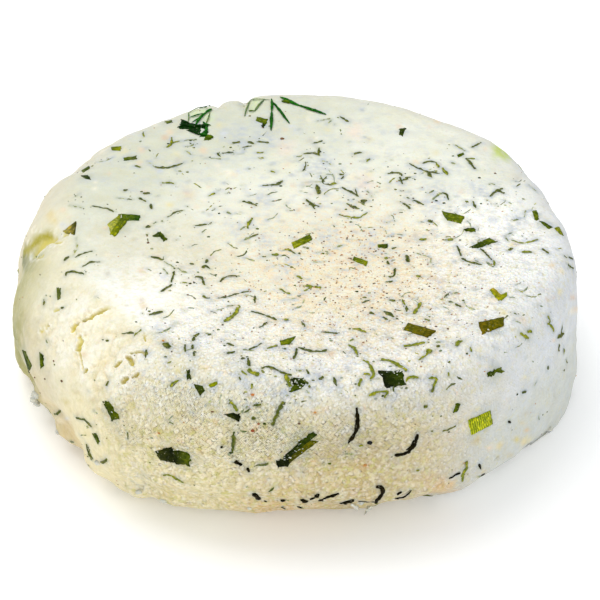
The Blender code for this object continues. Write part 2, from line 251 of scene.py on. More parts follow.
CRACKS = (  # angle, share, heading, length, width, depth
    (102, 0.335, 60, 7.0, 3.2, 0.9),
    (106.8, 0.37, 90, 16.0, 2.6, 1.5),
    (100.5, 0.37, 90, 16.0, 3.2, 2.0),
    (143, 0.40, 60, 9.0, 2.6, 1.6),
    (58, 0.43, -20, 11.0, 2.6, 1.6),
    (20, 0.44, 75, 7.0, 2.2, 1.2),
)
CRAGS = (  # width in frame pixels, depth in mm, places in the frame, on the crumbled shoulder
    (3.6, 1.1, (82, 320), (90, 318), (95, 315), (101, 312.5), (108, 309)),
    (4.4, 0.8, (90, 317.5), (96, 314.5)),
    (3.4, 0.7, (71, 331), (74, 325), (78.5, 321.5)),
    (5.0, 0.9, (78, 336), (80, 340), (78, 346), (76.5, 350)),
    (2.4, 0.7, (78, 350), (79.5, 357), (81.5, 363), (82, 370)),
    (3.0, 0.8, (83, 373), (85.5, 369)),
    (4.4, 1.3, (127, 357), (130.5, 360), (132, 364)),
    (3.6, 0.9, (114, 366), (118, 363), (121, 361)),
    (4.6, 1.4, (122, 382.5), (126, 378.5)),
    (3.6, 1.1, (132.5, 377), (138, 373.5)),
    (2.6, 0.9, (131, 353.5), (138, 351.5), (143, 352), (145.5, 357)),
    (2.2, 0.6, (144, 335), (145.5, 341)),
    (3.4, 0.4, (41, 331), (50, 326)),
    (3.0, 0.5, (54, 311.5), (60, 309)),
    (9.0, 0.9, (29, 251), (34, 244), (39, 237), (45, 234.5), (51, 235)),
    (3.0, 0.5, (32, 255), (38, 256.5), (42, 254)),
    (2.6, 0.4, (48, 243), (54, 240), (60, 241)),
    (3.4, 0.5, (62, 231), (68, 231)),
)
CRAGS_ACROSS, CRAGS_DOWN, CRAGS_ANGLES = 165, (220, 400), (165, 250)  # all crags lie within these
RIM_BACK = (  # angle, how far the rim stands back there, in mm
    (0, 1.3), (5, 1.3), (9, 1.7), (19, 1.4), (25, 1.9), (30, 1.8), (36, 1.4), (43, 1.2), (49, 1.1), (56, 0.8),
    (61, 0.4), (66, 0.0), (80, 0.3), (86, 0.9), (97, 0.9), (101, 1.0), (104, 0.5), (108, 0.6), (112, 0.0),
    (123, 0.4), (131, 0.7), (137, 1.2), (143, 1.8), (150, 1.8), (154, 0.4), (158, 0.0), (170, 0.3), (175, 1.4),
    (178, 1.9), (182, 2.0), (185, 0.9), (190, 0.0), (335, 0.0), (350, 0.3), (360, 1.3),
)
WALL_OUT = ((0, 0.3), (4, 0.0), (338, 0.0), (346, 0.7), (352, 1.1), (357, 0.8), (360, 0.3))  # its bulge, in mm
UNDERCUT = (  # angle, how far the foot is pressed in there, in mm
    (0, 0.0), (184, 0.4), (187, 1.3), (192, 3.0), (197, 3.4), (200, 2.4), (207, 2.6), (210, 1.2), (213, 2.0),
    (217, 1.7), (222, 2.2), (225, 0.5), (229, 0.5), (233, 0.0), (238, 0.2), (241, 1.3), (246, 0.5), (250, 1.2),
    (256, 1.5), (286, 1.5), (289, 2.3), (293, 2.4), (298, 2.9), (303, 1.4), (307, 1.2), (311, 1.7), (316, 1.8),
    (321, 2.4), (330, 2.5), (336, 1.7), (339, 0.5), (345, 0.2), (351, 0.8), (356, 0.7), (360, 0.0),
)
UNDERCUT_STARTS = (246, 286), (0.49, 0.56)  # from these angles the undercut starts at these shares
BROAD_RISE, CURDS_RISE, LUMP_RISE, LIP_RISE = 0.7 * MM, 0.45 * MM, 0.9 * MM, 0.22 * MM
BROAD_SIZE, CURDS_SIZE, LUMP_SIZE, FINE_SIZE = 21 * MM, 5.5 * MM, 4.2 * MM, 1.9 * MM
CRACK_WANDER = 0.7 * MM  # how far a crack strays from its line
STEP_DEPTH, STEP_SHARE = 2.2 * MM, 0.525
TORN_ANGLES = (196, 208), (250, 262)  # where each starts and ends: a rise and a fall
CRUMBLY_ANGLES, CRUMBLY_SHARES = ((196, 206), (238, 250)), ((0.32, 0.36), (0.43, 0.50))
RIM_SHARES, BULGE_SHARES = ((0.27, 0.35), (0.47, 0.53)), ((0.42, 0.47), (0.58, 0.62))


def curve_through(corners, spacing):
    """A smooth run through places in the frame, with one place about every spacing pixels."""
    corners = [np.array(c, float) for c in corners]
    ends = [2 * corners[0] - corners[1], *corners, 2 * corners[-1] - corners[-2]]
    run = []
    for a, b, c, d in zip(ends, ends[1:], ends[2:], ends[3:]):
        steps = max(1, round(float(np.linalg.norm(c - b)) / spacing))
        for number in range(steps):
            t = number / steps
            bend, twist = 2 * a - 5 * b + 4 * c - d, 3 * b - a - 3 * c + d
            run.append(0.5 * (2 * b + (c - a) * t + bend * t**2 + twist * t**3))
    return [*run, corners[-1]]


def crags(points, angles):
    """For each point, how deep a crag goes there, and the shares of its floor and its raised lip."""
    across, down = in_picture(points)
    found = np.flatnonzero((across < CRAGS_ACROSS) & within(CRAGS_DOWN, down) & within(CRAGS_ANGLES, angles))
    depth, floor, lip = np.zeros((3, len(points)))
    rough = 1 + 0.8 * grains(points[found], 1.3 * MM, 6.0) + 0.5 * grains(points[found], 0.6 * MM, 2.0)
    for width, deepest, *corners in CRAGS:
        run = np.array(curve_through(corners, 1.0))
        taper = 0.45 + 0.55 * np.sin(np.linspace(0.25, math.pi - 0.25, len(run))) ** 0.5
        far = np.hypot(across[found, None] - run[:, 0], down[found, None] - run[:, 1]) / (taper * width / 2)
        far = far.min(axis=1) / np.maximum(0.4, rough)
        groove = 1 - ramp(0.35, 1.25, far)
        depth[found] = np.maximum(depth[found], 0.8 * deepest * MM * groove)
        floor[found] = np.maximum(floor[found], groove)
        lip[found] = np.maximum(lip[found], band((1.0, 1.3), (1.4, 2.6), far))
    return depth, floor, lip * (1 - floor)


def directions(angle, share):
    """A place on the form with its outward, round and down directions."""
    point, out = form(angle, share)
    turn = math.radians(angle)
    around = np.array([-math.sin(turn), math.cos(turn), 0.0])
    return point, out, around, np.cross(around, out)


def crack_depths(points):
    """How deep all the cracks go at each point."""
    total = np.zeros(len(points))
    strays = CRACK_WANDER * grains(points, 2.5 * MM)
    for angle, share, heading, length, width, depth in CRACKS:
        middle, out, around, down = directions(angle, share)
        offset, turn = points - middle, math.radians(heading)
        along = offset @ (around * math.cos(turn) + down * math.sin(turn))
        across = offset @ (down * math.cos(turn) - around * math.sin(turn)) + strays
        near = np.linalg.norm(offset, axis=1) < length * MM
        reach = (2 * along / (length * MM)) ** 2 + (2 * across / (width * MM)) ** 2
        total += near * depth * MM * np.exp(-1.2 * reach)
    return total


def crumbling(points):
    """How fully the skin crumbles at each point, patch by patch."""
    return ramp(-0.5, 0.4, grains(points, 7 * MM, 3.0))


def relief(points, angles, shares):
    """How far the skin stands out from the form at each point."""
    wall = ramp(0.28, 0.42, shares)
    broad = BROAD_RISE * grains(points, BROAD_SIZE)
    curds = CURDS_RISE * (0.25 + 0.75 * wall) * grains(points, CURDS_SIZE, np.array([7, 3, 1]))
    line = STEP_SHARE + 0.03 * grains(points, 9 * MM)
    step = STEP_DEPTH * band(*TORN_ANGLES, angles) * band((line, line + 0.02), (line + 0.05, line + 0.09), shares)
    crumble = LUMP_RISE * (lumps(points, LUMP_SIZE) - 0.7) + 0.55 * MM * (lumps(points, LUMP_SIZE / 2, 4.0) - 0.7)
    crumble = band(*CRUMBLY_ANGLES, angles) * band(*CRUMBLY_SHARES, shares) * crumble * crumbling(points)
    fine = (0.08 + 0.10 * wall) * MM * grains(points, FINE_SIZE, np.array([2, 5, 9]))
    starts = np.interp(angles, *UNDERCUT_STARTS)
    undercut = (np.interp(angles, *zip(*UNDERCUT)) * MM) * (1 + 0.4 * grains(points, 5 * MM))
    undercut *= ramp(0, 0.05, shares - starts)
    rim = np.interp(angles, *zip(*RIM_BACK)) * MM * band(*RIM_SHARES, shares)
    bulge = np.interp(angles, *zip(*WALL_OUT)) * MM * band(*BULGE_SHARES, shares)
    torn_out, _, lip = crags(points, angles)
    crumble = crumble + LIP_RISE * lip - torn_out
    return broad + curds + crumble + fine + bulge - rim - crack_depths(points) - step - undercut


print(len(CRACKS), "cracks and", len(CRAGS), "crags, the deepest", max(c[1] for c in CRAGS), "mm")

# %% [markdown]
# ## Pressing the round
#
# A round of curd has no seam, so it starts as an evenly faced ball and each point slides to its place on the form.
# The height on the ball is matched to the skin's area, so that the faces stay even, with fewer under the cheese,
# where nobody looks. A grid wrapped round would pinch in the middle of the top.

# %% The round
BALL_HALVINGS = 5
EXTRA_CUTS = 4
UNDERSIDE_FROM, UNDERSIDE_WEIGHT = 0.66, 0.12
FINER_ANGLES, FINER_SHARES, FINER_CUTS = (209, 243), (0.33, 0.425), 3
FRONT_ANGLE, RUNGS = 270, 801

rungs = np.linspace(0, 1, RUNGS)
rung_radius = np.linalg.norm(form(FRONT_ANGLE, rungs)[0][:, :2], axis=1)
passed = np.cumsum(rung_radius * np.where(rungs < UNDERSIDE_FROM, 1, UNDERSIDE_WEIGHT))
passed -= passed[0]


def on_form(shape):
    """The angle and share of each point of the ball."""
    ball = np.array([v.co.normalized() for v in shape.verts])
    shares = np.interp((1 - ball[:, 2]) / 2, passed / passed[-1], rungs)
    return np.degrees(np.arctan2(ball[:, 1], ball[:, 0])) % 360, shares


shaper = bmesh.new()
bmesh.ops.create_icosphere(shaper, subdivisions=BALL_HALVINGS, radius=1)
bmesh.ops.subdivide_edges(shaper, edges=shaper.edges, cuts=EXTRA_CUTS, use_grid_fill=True)
angles, shares = on_form(shaper)
crumbled = within(FINER_ANGLES, angles) & within(FINER_SHARES, shares)
finer = [edge for edge in shaper.edges if crumbled[edge.verts[0].index] and crumbled[edge.verts[1].index]]
bmesh.ops.subdivide_edges(shaper, edges=finer, cuts=FINER_CUTS, use_grid_fill=True)
bmesh.ops.triangulate(shaper, faces=shaper.faces)
angles, shares = on_form(shaper)
smooth, outward = form(angles, shares)
stands = relief(smooth, angles, shares) * (smooth[:, 2] > MM**3)  # the flat underside stays flat
skin = smooth + outward * stands[:, None]
skin[:, 2] = np.maximum(skin[:, 2], 0)
for vertex, place in zip(shaper.verts, skin):
    vertex.co = place
round_mesh = as_mesh("cheese_round", shaper)
round_mesh.shade_smooth()
cheese = placed("cheese_round", round_mesh)
print(f"{len(round_mesh.polygons)} faces, {np.ptp(skin, axis=0) / MM} mm")

# %% [markdown]
# ## Setting things down on the skin
#
# Each herb has to lie on the curd, whichever way it is seen. So a place in the frame is followed along its line of
# sight to the skin, and a place on the far side is given by its angle and share and dropped to the skin along the
# form's outward direction. Both give a station: a point, the outward direction there, and the way ahead. The skin
# is read through a tree of its faces, which is much faster than testing each face.

# %% Stations on the skin
places = [v.co for v in round_mesh.vertices]
skin_tree = BVHTree.FromPolygons(places, [tuple(p.vertices) for p in round_mesh.polygons])
DROP = 9  # mm above the skin, from where a place is dropped to it


def tree_of(places):
    """A tree that finds the nearest of these places."""
    tree = KDTree(len(places))
    for number, place in enumerate(places):
        tree.insert(place, number)
    tree.balance()
    return tree


form_points = tree_of(smooth)
frame_points = tree_of([(*place, 0) for place in zip(*in_picture(skin))])


def facing(point):
    """The form's outward direction near a point."""
    return Vector(outward[form_points.find(point)[1]])


def spot(across, down):
    """The skin's point at a place in the frame, or None where the line of sight misses."""
    ray = VIEW + RIGHT * (across - FRAME_SIDE / 2) * PIXEL + UP * (FRAME_SIDE / 2 - down) * PIXEL
    return skin_tree.ray_cast(EYE, ray.normalized())[0]


def beside(across, down):
    """A place in the frame as a point: on the skin, or level with the nearest skin where the sight misses it."""
    point = spot(across, down)
    if point is None:
        (x, y, _), number, _ = frame_points.find((across, down, 0))
        point = Vector(skin[number]) + (RIGHT * (across - x) + UP * (y - down)) * PIXEL * DISTANCE
    return point


def settle(point):
    """The skin's point beside this one, and the outward direction there."""
    out = facing(point)
    hit = skin_tree.ray_cast(point + out * DROP * MM, -out)[0]
    return (hit if hit is not None else point), out


def with_ahead(points):
    """Stations for a run of points: point, outward direction, way ahead."""
    stations = []
    for number, point in enumerate(points):
        before, after = points[max(0, number - 1)], points[min(len(points) - 1, number + 1)]
        out = facing(point)
        ahead = after - before
        ahead = (ahead - out * ahead.dot(out)).normalized()
        stations.append((point, out, ahead))
    return stations


def stroke(corners, spacing=1.5):
    """Stations along a smooth run through places in the frame."""
    points = [spot(*place) for place in curve_through(corners, spacing)]
    return with_ahead([p for p in points if p is not None])


def wander(angle, share, heading, length, bend, step):
    """Stations along a bending run on the skin, centred on a place given by angle and share."""
    point, out, around, down = (Vector(v) for v in directions(angle, share))
    turn = math.radians(heading)
    ahead = around * math.cos(turn) + down * math.sin(turn)
    count = max(2, round(length / step))
    point, out = settle(point - ahead * length / 2)
    points = []
    for _ in range(count + 1):
        points.append(point)
        ahead = (ahead - out * ahead.dot(out)).normalized()
        turned = math.radians(bend) / count
        ahead = ahead * math.cos(turned) + out.cross(ahead) * math.sin(turned)
        point, out = settle(point + ahead * length / count)
    return with_ahead(points)


middle = spot(FRAME_SIDE / 2, FRAME_SIDE / 2)
print(f"the middle of the frame is {middle.z / MM:.1f} mm above the table")

# %% [markdown]
# ## Chopped dill
#
# Dill leaves are threads, and a knife leaves short bits of them, bent and branched. Some lie free on the skin, some
# shine through a film of curd, and the ones low in front are wet and nearly black. Hair particles could scatter
# them, but each thread here is a small closed mesh, so that it can be exported and its place can be chosen. A
# thread is a thin cone with equal ends, cut into lengths and laid along its stations.

# %% How a herb piece is built and gathered
TONES = {  # screen colours, and how plainly the veins show
    "dark": (72, 82, 6, 0.3),
    "olive": (120, 128, 6, 0.3),
    "veiled": (138, 146, 112, 0.0),
    "wet": (22, 18, 2, 0.2),
}
FILM = pigment(214, 216, 196)
THREAD_SIDES, THREAD_FLATNESS = 6, 0.6
SWAY = 0.22  # mm that a thread strays to its side
TABLE_GAP = 0.02 * MM


def rough_at(point, size, shift=(0, 0, 0)):
    """Smooth noise from -1 to 1 at one point, for grains of this size in millimetres."""
    return noise.noise(point / (size * MM) + Vector(shift))


class Pile:
    """One mesh that gathers many small shapes, each with a tone of its own."""

    def __init__(self, name):
        self.name, self.count, self.all = name, 0, bmesh.new()
        self.all.verts.layers.float_color.new("tone")
        self.all.loops.layers.uv.new("along_veins")

    def take(self, shape):
        scrap = as_mesh("scrap", shape)
        self.all.from_mesh(scrap)
        bpy.data.meshes.remove(scrap)
        self.count += 1

    def settle_down(self, finish, slot="dill"):
        for vertex in self.all.verts:
            vertex.co.z = max(vertex.co.z, TABLE_GAP)
        mesh = as_mesh(self.name, self.all)
        mesh.shade_smooth()
        mesh.materials.append(finish)
        made = placed(self.name, mesh)
        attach(made, "root")
        print(f"{self.name}: {self.count} shapes, {len(mesh.polygons)} faces")
        return made


def thread(stations, width, height, tone, tip=0.65, dip=0.28 * MM, knobby=1.0, film=0.25):
    """A thread along the stations, its middle line at this height, its sides hidden by a film of curd."""
    plain, veins = np.array(pigment(*tone[:3])), tone[3]
    count = len(stations) - 1
    shape = bmesh.new()
    layer = shape.verts.layers.float_color.new("tone")
    bmesh.ops.create_cone(shape, cap_ends=True, segments=THREAD_SIDES, radius1=1, radius2=1, depth=1)
    long_edges = [e for e in shape.edges if abs(e.verts[0].co.z - e.verts[1].co.z) > 0.5]
    if count > 1:
        bmesh.ops.subdivide_edges(shape, edges=long_edges, cuts=count - 1)
    for vertex in shape.verts:
        at = round((vertex.co.z + 0.5) * count)
        point, out, ahead = stations[at]
        swell = tip + (1 - tip) * max(0, math.sin(math.pi * at / count)) ** 0.6
        knobs = 0.9 * rough_at(point, 0.75) + 0.45 * rough_at(point + vertex.co * MM, 0.35)
        swell *= max(0.2, 1 + knobby * knobs)
        side = out.cross(ahead)
        point = point + side * SWAY * MM * knobby * rough_at(point, 0.9, (3, 1, 5))
        rise = height + dip * rough_at(point, 1.2, (9, 4, 7))
        shown = plain + (np.array(FILM) - plain) * film * vertex.co.x**2
        offset = side * vertex.co.x + out * vertex.co.y * THREAD_FLATNESS
        vertex.co = point + offset * swell * width / 2 + out * rise
        vertex[layer] = (*shown, veins)
    return shape


print(len(TONES), "tones of dill")

# %% [markdown]
# The threads that catch the eye are set down one by one. Each has a name, a width in frame pixels and the places
# that it runs through.

# %% Threads with a place of their own
DILL = {  # for each tone: name, width in frame pixels, places it runs through
    "dark": (
        ("long_curve", 2.4, (155, 167), (165, 168), (175, 166), (184, 162.5)),
        ("grey_dash", 2.2, (143, 193.5), (150, 193.7)), ("back_tick", 2.6, (139, 198), (146, 201.7)),
        ("thread_end", 2.2, (127, 199), (132, 199.5)), ("crumb_151", 2.2, (151, 204.5), (151.5, 209)),
        ("left_arc", 1.8, (91.7, 206), (100, 207.5), (108, 209), (114, 212)),
        ("bit_125", 2.2, (123.5, 191), (127.5, 190)), ("dash_236", 2.6, (232.5, 143.5), (240, 142)),
        ("dash_251", 3.2, (248, 142), (253.5, 144)), ("dash_262", 2.5, (256.7, 142), (262, 142), (268.5, 143.3)),
        ("thread_220", 2.0, (217, 153.5), (221, 157)), ("thread_228", 2.0, (222, 153.5), (229, 153), (233.5, 152.5)),
        ("thread_247", 1.8, (242.5, 147.5), (251.5, 146)),
        ("knob_thread", 2.0, (262.5, 185.8), (271.7, 185), (278, 184.7), (282, 181)),
        ("knob", 3.2, (276.5, 184), (280.5, 183)), ("mark_248", 3.2, (242.5, 201.5), (248, 202.5), (251.7, 203.5)),
        ("mark_tail", 2.0, (251, 203.5), (256.7, 206)), ("dash_344", 3.0, (340, 116.7), (348.5, 121.7)),
        ("wisp_318", 2.0, (313.5, 143.5), (322.5, 141)),
        ("cross_309", 2.2, (303.5, 154), (313.5, 153.3), (318.5, 155)),
        ("cross_318", 3.0, (318.5, 155.5), (319, 148)), ("hook_304", 2.2, (301, 171), (304, 170), (306, 162.5)),
        ("dash_358", 3.0, (354, 154), (361.7, 152.5)), ("thread_324", 1.7, (326.7, 176), (322.5, 182.5), (330, 185)),
        ("wedge_318", 4.2, (316.7, 185), (318, 190), (319, 194)), ("star_341", 3.4, (339.5, 174), (343.5, 175)),
        ("star_arm", 1.8, (341, 179), (343.5, 176.7)), ("vee_350", 2.6, (341.7, 187.5), (350, 191.7), (358.5, 196.7)),
        ("vee_arm", 2.0, (355, 188.5), (357.5, 196)), ("blob_364", 5.0, (361, 202), (367, 200.5)),
        ("fork_313", 2.8, (306, 200), (310, 203), (313.5, 205), (319, 206.7)),
        ("fork_arm", 2.0, (310, 203.5), (315, 209)), ("dash_351", 2.4, (346.7, 203.5), (357.5, 209)),
        ("dash_476", 2.6, (471.7, 147.5), (481, 142.5)), ("seven_470", 3.2, (466, 158.5), (470, 163), (475, 169)),
        ("long_420", 2.5, (409, 163.5), (418.5, 168.5), (426.7, 171.7), (431.7, 177.5)),
        ("long_arm", 2.2, (426.7, 171.7), (440, 173.5)), ("long_foot", 4.2, (428.5, 174), (430.5, 177)),
        ("arch_430", 2.1, (422.5, 163.5), (428.5, 161.7), (436.7, 162.5)),
        ("comb_394", 2.5, (387.5, 174), (394, 173), (400, 173.5), (401.7, 176)),
        ("comb_403", 3.3, (398.5, 181), (404, 180), (408, 179)), ("comb_leg", 2.4, (400, 177.5), (402.5, 184)),
        ("comb_arm", 1.7, (405, 178), (411, 177.5)), ("cross_496", 3.0, (490, 196.5), (496.7, 191), (502.5, 188.5)),
        ("cross_500", 3.0, (497, 190), (501, 192), (504, 193.5)),
        ("dash_415", 2.4, (406.7, 197.5), (415, 201), (423.5, 205)),
        ("cloud_447", 2.4, (442.5, 192.5), (446.7, 195), (448.5, 200)), ("slug_474", 3.0, (472.5, 201.7), (476, 208)),
        ("dash_405", 2.3, (400, 201.7), (406, 205), (410, 209)),
        ("arc_175", 1.9, (167.5, 217.5), (175, 212.5), (183, 210.5)), ("blue_148", 3.2, (145.5, 227.5), (150, 226.5)),
        ("twig_66", 2.2, (64, 260.8), (69, 257)), ("twig_83", 2.0, (75, 257.5), (81.7, 254), (92.5, 251)),
        ("arc_91", 2.3, (82.5, 266.7), (90, 262.5), (100, 262)),
        ("hook_75", 2.3, (66, 275.8), (66.7, 273), (72.5, 271.7), (78, 273), (84, 274)),
        ("dot_44", 3.2, (44, 299.5), (44, 305)), ("dot_62", 4.2, (61, 308), (64, 307)),
        ("twig_157", 2.7, (150.8, 256.7), (157, 258), (163, 260)), ("twig_up", 2.0, (163, 260), (163.5, 256.5)),
        ("twig_173", 2.3, (174, 271), (173.3, 276), (171, 282.5)),
        ("twig_167", 2.5, (171.7, 285), (166, 288.5), (161, 291.7)), ("bit_192", 2.2, (190, 263.5), (193.5, 264.7)),
        ("dash_156", 2.5, (149, 314.7), (156, 313.5), (162.5, 311.7)),
        ("bar_203", 2.4, (195, 226), (203, 225), (211.7, 223)), ("grey_256", 2.0, (250, 237.5), (258, 234)),
        ("bit_298", 3.4, (294.5, 253.5), (300.5, 253.5)), ("bit_264", 2.5, (262, 256.5), (266, 256.5)),
        ("bit_353", 2.0, (350, 206.7), (357.5, 209)), ("claw_206", 3.0, (202.5, 268), (206, 266), (210, 269)),
        ("claw_top", 3.0, (206.7, 259.5), (206, 263)), ("bar_200", 2.7, (195, 277), (201, 278), (205, 285)),
        ("arch_226", 2.2, (220, 281.7), (225, 277.5), (235, 276), (236.7, 277.5)),
        ("long_233", 1.8, (218, 298), (228, 296.7), (236.7, 294), (249, 291)),
        ("bit_255", 2.3, (255, 296.7), (255, 303)), ("bit_206", 2.5, (203, 295), (205, 297.5), (210, 298)),
        ("long_264", 2.0, (251, 311.7), (258, 313), (266.7, 316)), ("long_272", 2.8, (266.7, 316), (276.7, 320)),
        ("bit_364", 2.6, (362.5, 297.5), (366.5, 297.5)), ("thin_366", 1.7, (361.7, 303), (370, 300)),
        ("bit_372", 2.5, (369.5, 313), (374, 314)), ("bit_430", 3.0, (428, 221), (432.5, 222.5)),
        ("bit_394", 2.5, (392, 249), (396.5, 247.5)), ("bit_407", 4.2, (407, 256), (408, 262)),
        ("spot_388", 2.5, (387.5, 261.5), (388.7, 264.5)), ("slant_459", 2.2, (456.7, 246), (459, 250.5), (461, 256)),
        ("arc_471", 2.3, (461.7, 258.7), (470, 262.5), (481.7, 264.7)),
        ("slant_486", 2.2, (481, 249), (486, 254), (491.7, 260)), ("bit_510", 2.8, (508.5, 250.3), (512.5, 248.3)),
        ("bit_545", 2.3, (542.5, 249), (548.5, 253.5)), ("bit_565", 2.5, (564, 255.7), (566.5, 257.7)),
        ("bit_571", 2.9, (568.5, 257.3), (572.5, 259)), ("side_571", 3.3, (568, 265), (573, 268.3)),
        ("crook_393", 2.5, (395, 268.5), (394.5, 273), (393, 276.5), (388.5, 277)),
        ("bit_391", 2.3, (389, 282.5), (392.5, 281)), ("bit_392", 2.9, (388.5, 300), (395, 301)),
        ("bit_406", 2.7, (406.7, 306), (406.7, 311.7)), ("bit_446", 2.1, (444, 297.5), (448.5, 294)),
        ("bit_450", 2.3, (448.3, 301.7), (452.7, 302.5)), ("bit_458", 2.1, (455, 304), (461, 306.7)),
        ("clump_388", 3.8, (383.5, 312), (389, 314), (394, 317)), ("clump_386", 2.6, (383, 317), (387, 320)),
        ("bit_102", 2.3, (101, 339), (103.7, 339.7)), ("bit_107", 2.3, (106, 340.5), (108.7, 341)),
        ("dash_128", 2.1, (121.7, 333.7), (128, 333), (134, 333)),
        ("drop_146", 2.5, (146, 350), (146.3, 355), (145.5, 359)), ("dot_166", 2.2, (165, 356.4), (167, 357)),
        ("blob_166", 5.2, (163, 343.5), (166, 345), (170, 347.5)), ("bit_108", 2.8, (106.7, 386), (109, 381)),
        # a dark thread laid as painted shadow under the ledge
        ("ledge_58", 3.0, (55, 414.5), (61, 411)),
        ("swoop_84", 2.9, (76, 417.5), (80, 419), (85, 420), (91.7, 426.7)), ("row_194", 3.0, (194, 337), (193, 341)),
        ("row_192", 2.7, (192.5, 345), (192.5, 349)), ("row_193", 2.7, (193.5, 353), (194, 356)),
        ("row_185", 2.1, (185, 345), (185, 351.7)), ("bit_197", 2.9, (195, 337), (199, 333.5)),
        ("bit_209", 2.9, (207.5, 335), (211, 334)), ("bit_230", 2.1, (226.7, 343.5), (234, 346)),
        ("thin_263", 1.8, (259, 327.5), (267.5, 323)), ("long_255", 1.9, (248.5, 350), (255, 347), (261.7, 343.5)),
        ("bit_231", 3.4, (226.7, 353.5), (235, 351.7)), ("bit_243", 2.3, (241, 359), (245, 358.5)),
        ("bit_249", 3.0, (248, 358.5), (249, 366)), ("bit_285", 2.5, (283.5, 348.5), (286.5, 349)),
        ("bend_296", 2.7, (296.7, 348.5), (296, 354), (293.5, 359)),
        ("long_312", 2.6, (298.5, 347.5), (310, 351), (321.7, 351.7)),
        ("long_end", 3.4, (321.7, 351.7), (326.5, 350)),
        ("dash_329", 2.1, (321, 332), (328.5, 332.5), (337.5, 333.7)),
        ("clump_303", 3.2, (301.7, 321.7), (305, 326.7)), ("dot_240", 2.5, (239.3, 377.3), (240.9, 379.7)),
        ("feather_275", 2.6, (261.7, 368.5), (268.5, 367), (278.5, 371), (286, 374), (291.7, 375)),
        ("mass_306", 3.2, (303, 380), (308, 384)), ("mass_end", 3.6, (308.5, 386), (310.5, 387)),
        ("bit_307", 2.1, (306.7, 370), (308.5, 374)), ("eye_321", 3.6, (318.5, 378.5), (323.7, 377.5)),
        ("slant_335", 2.7, (333.5, 377.5), (335, 381.5), (336.7, 386)),
        ("bit_257", 2.9, (253.5, 405), (257, 405.5), (261, 404)), ("bit_253", 2.9, (252.5, 416.5), (254.2, 420)),
        ("rod_278", 4.0, (283.5, 401.7), (278.5, 411), (272.5, 425)),
        ("rod_233", 3.5, (234, 431.7), (233.5, 440), (232.5, 452.5)), ("bit_438", 2.5, (436.7, 346), (439.3, 347)),
        ("side_562", 2.5, (562.5, 324), (561.7, 329), (561, 333.5)),
        ("side_560", 4.2, (557.5, 337), (560, 336), (563.5, 333.5)), ("side_559", 2.5, (559, 344), (558.5, 351)),
        ("side_566", 2.3, (565.7, 359.5), (567, 363)), ("side_548", 2.3, (547.7, 366), (548.3, 369)),
        ("leg_393", 1.9, (393.5, 386.7), (393.5, 391.7)), ("seven_432", 2.4, (433.5, 386.7), (431.7, 392.5)),
        ("bit_425", 3.4, (423.7, 407), (427.3, 406.5)), ("line_450", 2.0, (442.5, 431), (449, 429), (456, 426)),
        ("dot_431", 2.5, (430.7, 431.2), (432.7, 431.4)), ("dot_523", 2.8, (522, 392.7), (525.5, 391)),
        ("bit_104", 2.9, (101, 462.5), (104.5, 461.5), (106.7, 458.5)),
        ("strand_88", 2.3, (86.7, 444), (88.5, 451.7), (91.7, 460)),
        ("strand_90", 1.9, (88.5, 447), (90.5, 454), (92.7, 459)), ("thin_128", 1.8, (128, 432), (127.7, 439)),
        ("tick_271", 2.5, (269, 491.7), (274, 487.5)),
        ("line_261", 2.4, (254, 466.3), (261.7, 464.7), (268.5, 463.7)),
    ),
    "olive": (
        ("back_dash", 2.7, (162, 183), (168, 183), (174, 183.5)),
        ("fork_stem", 2.4, (166.7, 147.5), (171, 144), (171.5, 137.5)),
        ("fork_branch", 2.4, (171.5, 143.5), (176, 142), (180, 141)), ("rim_drop", 2.0, (143.3, 132), (144, 137)),
        ("bit_137", 2.6, (135, 165.8), (140, 167.5)), ("pair_260", 2.1, (256.7, 153), (263.5, 152.7)),
        ("pair_261", 2.1, (258.5, 158), (263.5, 158)), ("bit_273", 2.6, (271, 171), (275, 172.5)),
        ("leaf_212", 2.3, (208.5, 196), (215, 193.3)), ("bit_368", 2.5, (366.7, 161.7), (370, 159)),
        ("blob_333", 3.2, (330, 185), (336, 183.3)), ("seven_top", 2.3, (466, 158.7), (475, 159)),
        ("arch_foot", 2.8, (436, 162.5), (439, 167.5)), ("slug_445", 3.6, (442.5, 168.5), (447.5, 175)),
        ("bit_467", 2.5, (465.5, 201.5), (468.5, 202.5)), ("bit_186", 1.9, (182.5, 282.5), (189, 283)),
        ("sprout_250", 3.2, (252.5, 218), (249.5, 222), (247, 226.7), (248, 228.5)),
        ("bit_286", 2.5, (282.5, 250), (287, 249.5), (290.5, 251)), ("bit_275", 3.2, (271.7, 255), (278.7, 255)),
        ("long_353", 2.1, (339, 215), (346.7, 216.7), (358, 218), (363, 215.5), (367.5, 212.5)),
        ("curl_232", 4.4, (224, 321.7), (231, 317.5), (236, 312.5), (238, 308)),
        ("curl_top", 1.9, (227, 306.5), (234, 305.5), (239.5, 306), (238.5, 309)),
        ("bit_288", 3.2, (284, 320), (288.5, 320)), ("dash_299", 3.2, (296.7, 276), (302.5, 279)),
        ("wing_312", 3.0, (303, 286), (311.7, 286.5), (321, 288)), ("wing_leg", 2.1, (304, 291), (311.7, 287.5)),
        ("dash_285", 2.1, (280, 289), (285, 292), (290, 294)), ("bit_422", 3.6, (419, 240), (426.5, 239.3)),
        ("spot_386", 4.4, (384.5, 258), (388, 258.5)), ("bit_450b", 3.0, (447.5, 240.5), (453, 239.5)),
        ("bit_494", 2.7, (494, 261), (494.5, 266)),
        ("sweep_525", 1.8, (511.7, 240), (520, 243), (528, 242.5), (538, 239.7)),
        ("bit_526", 2.9, (521.7, 251.7), (531.7, 252.5)), ("thin_403", 2.1, (401.7, 300), (405, 305)),
        ("tee_417", 3.8, (421, 303), (418, 308), (414, 314)), ("bit_427", 2.5, (425, 319), (429, 321)),
        ("side_549", 2.7, (547.5, 316), (550, 320), (549, 324)), ("bit_418", 2.6, (416, 276), (421, 277)),
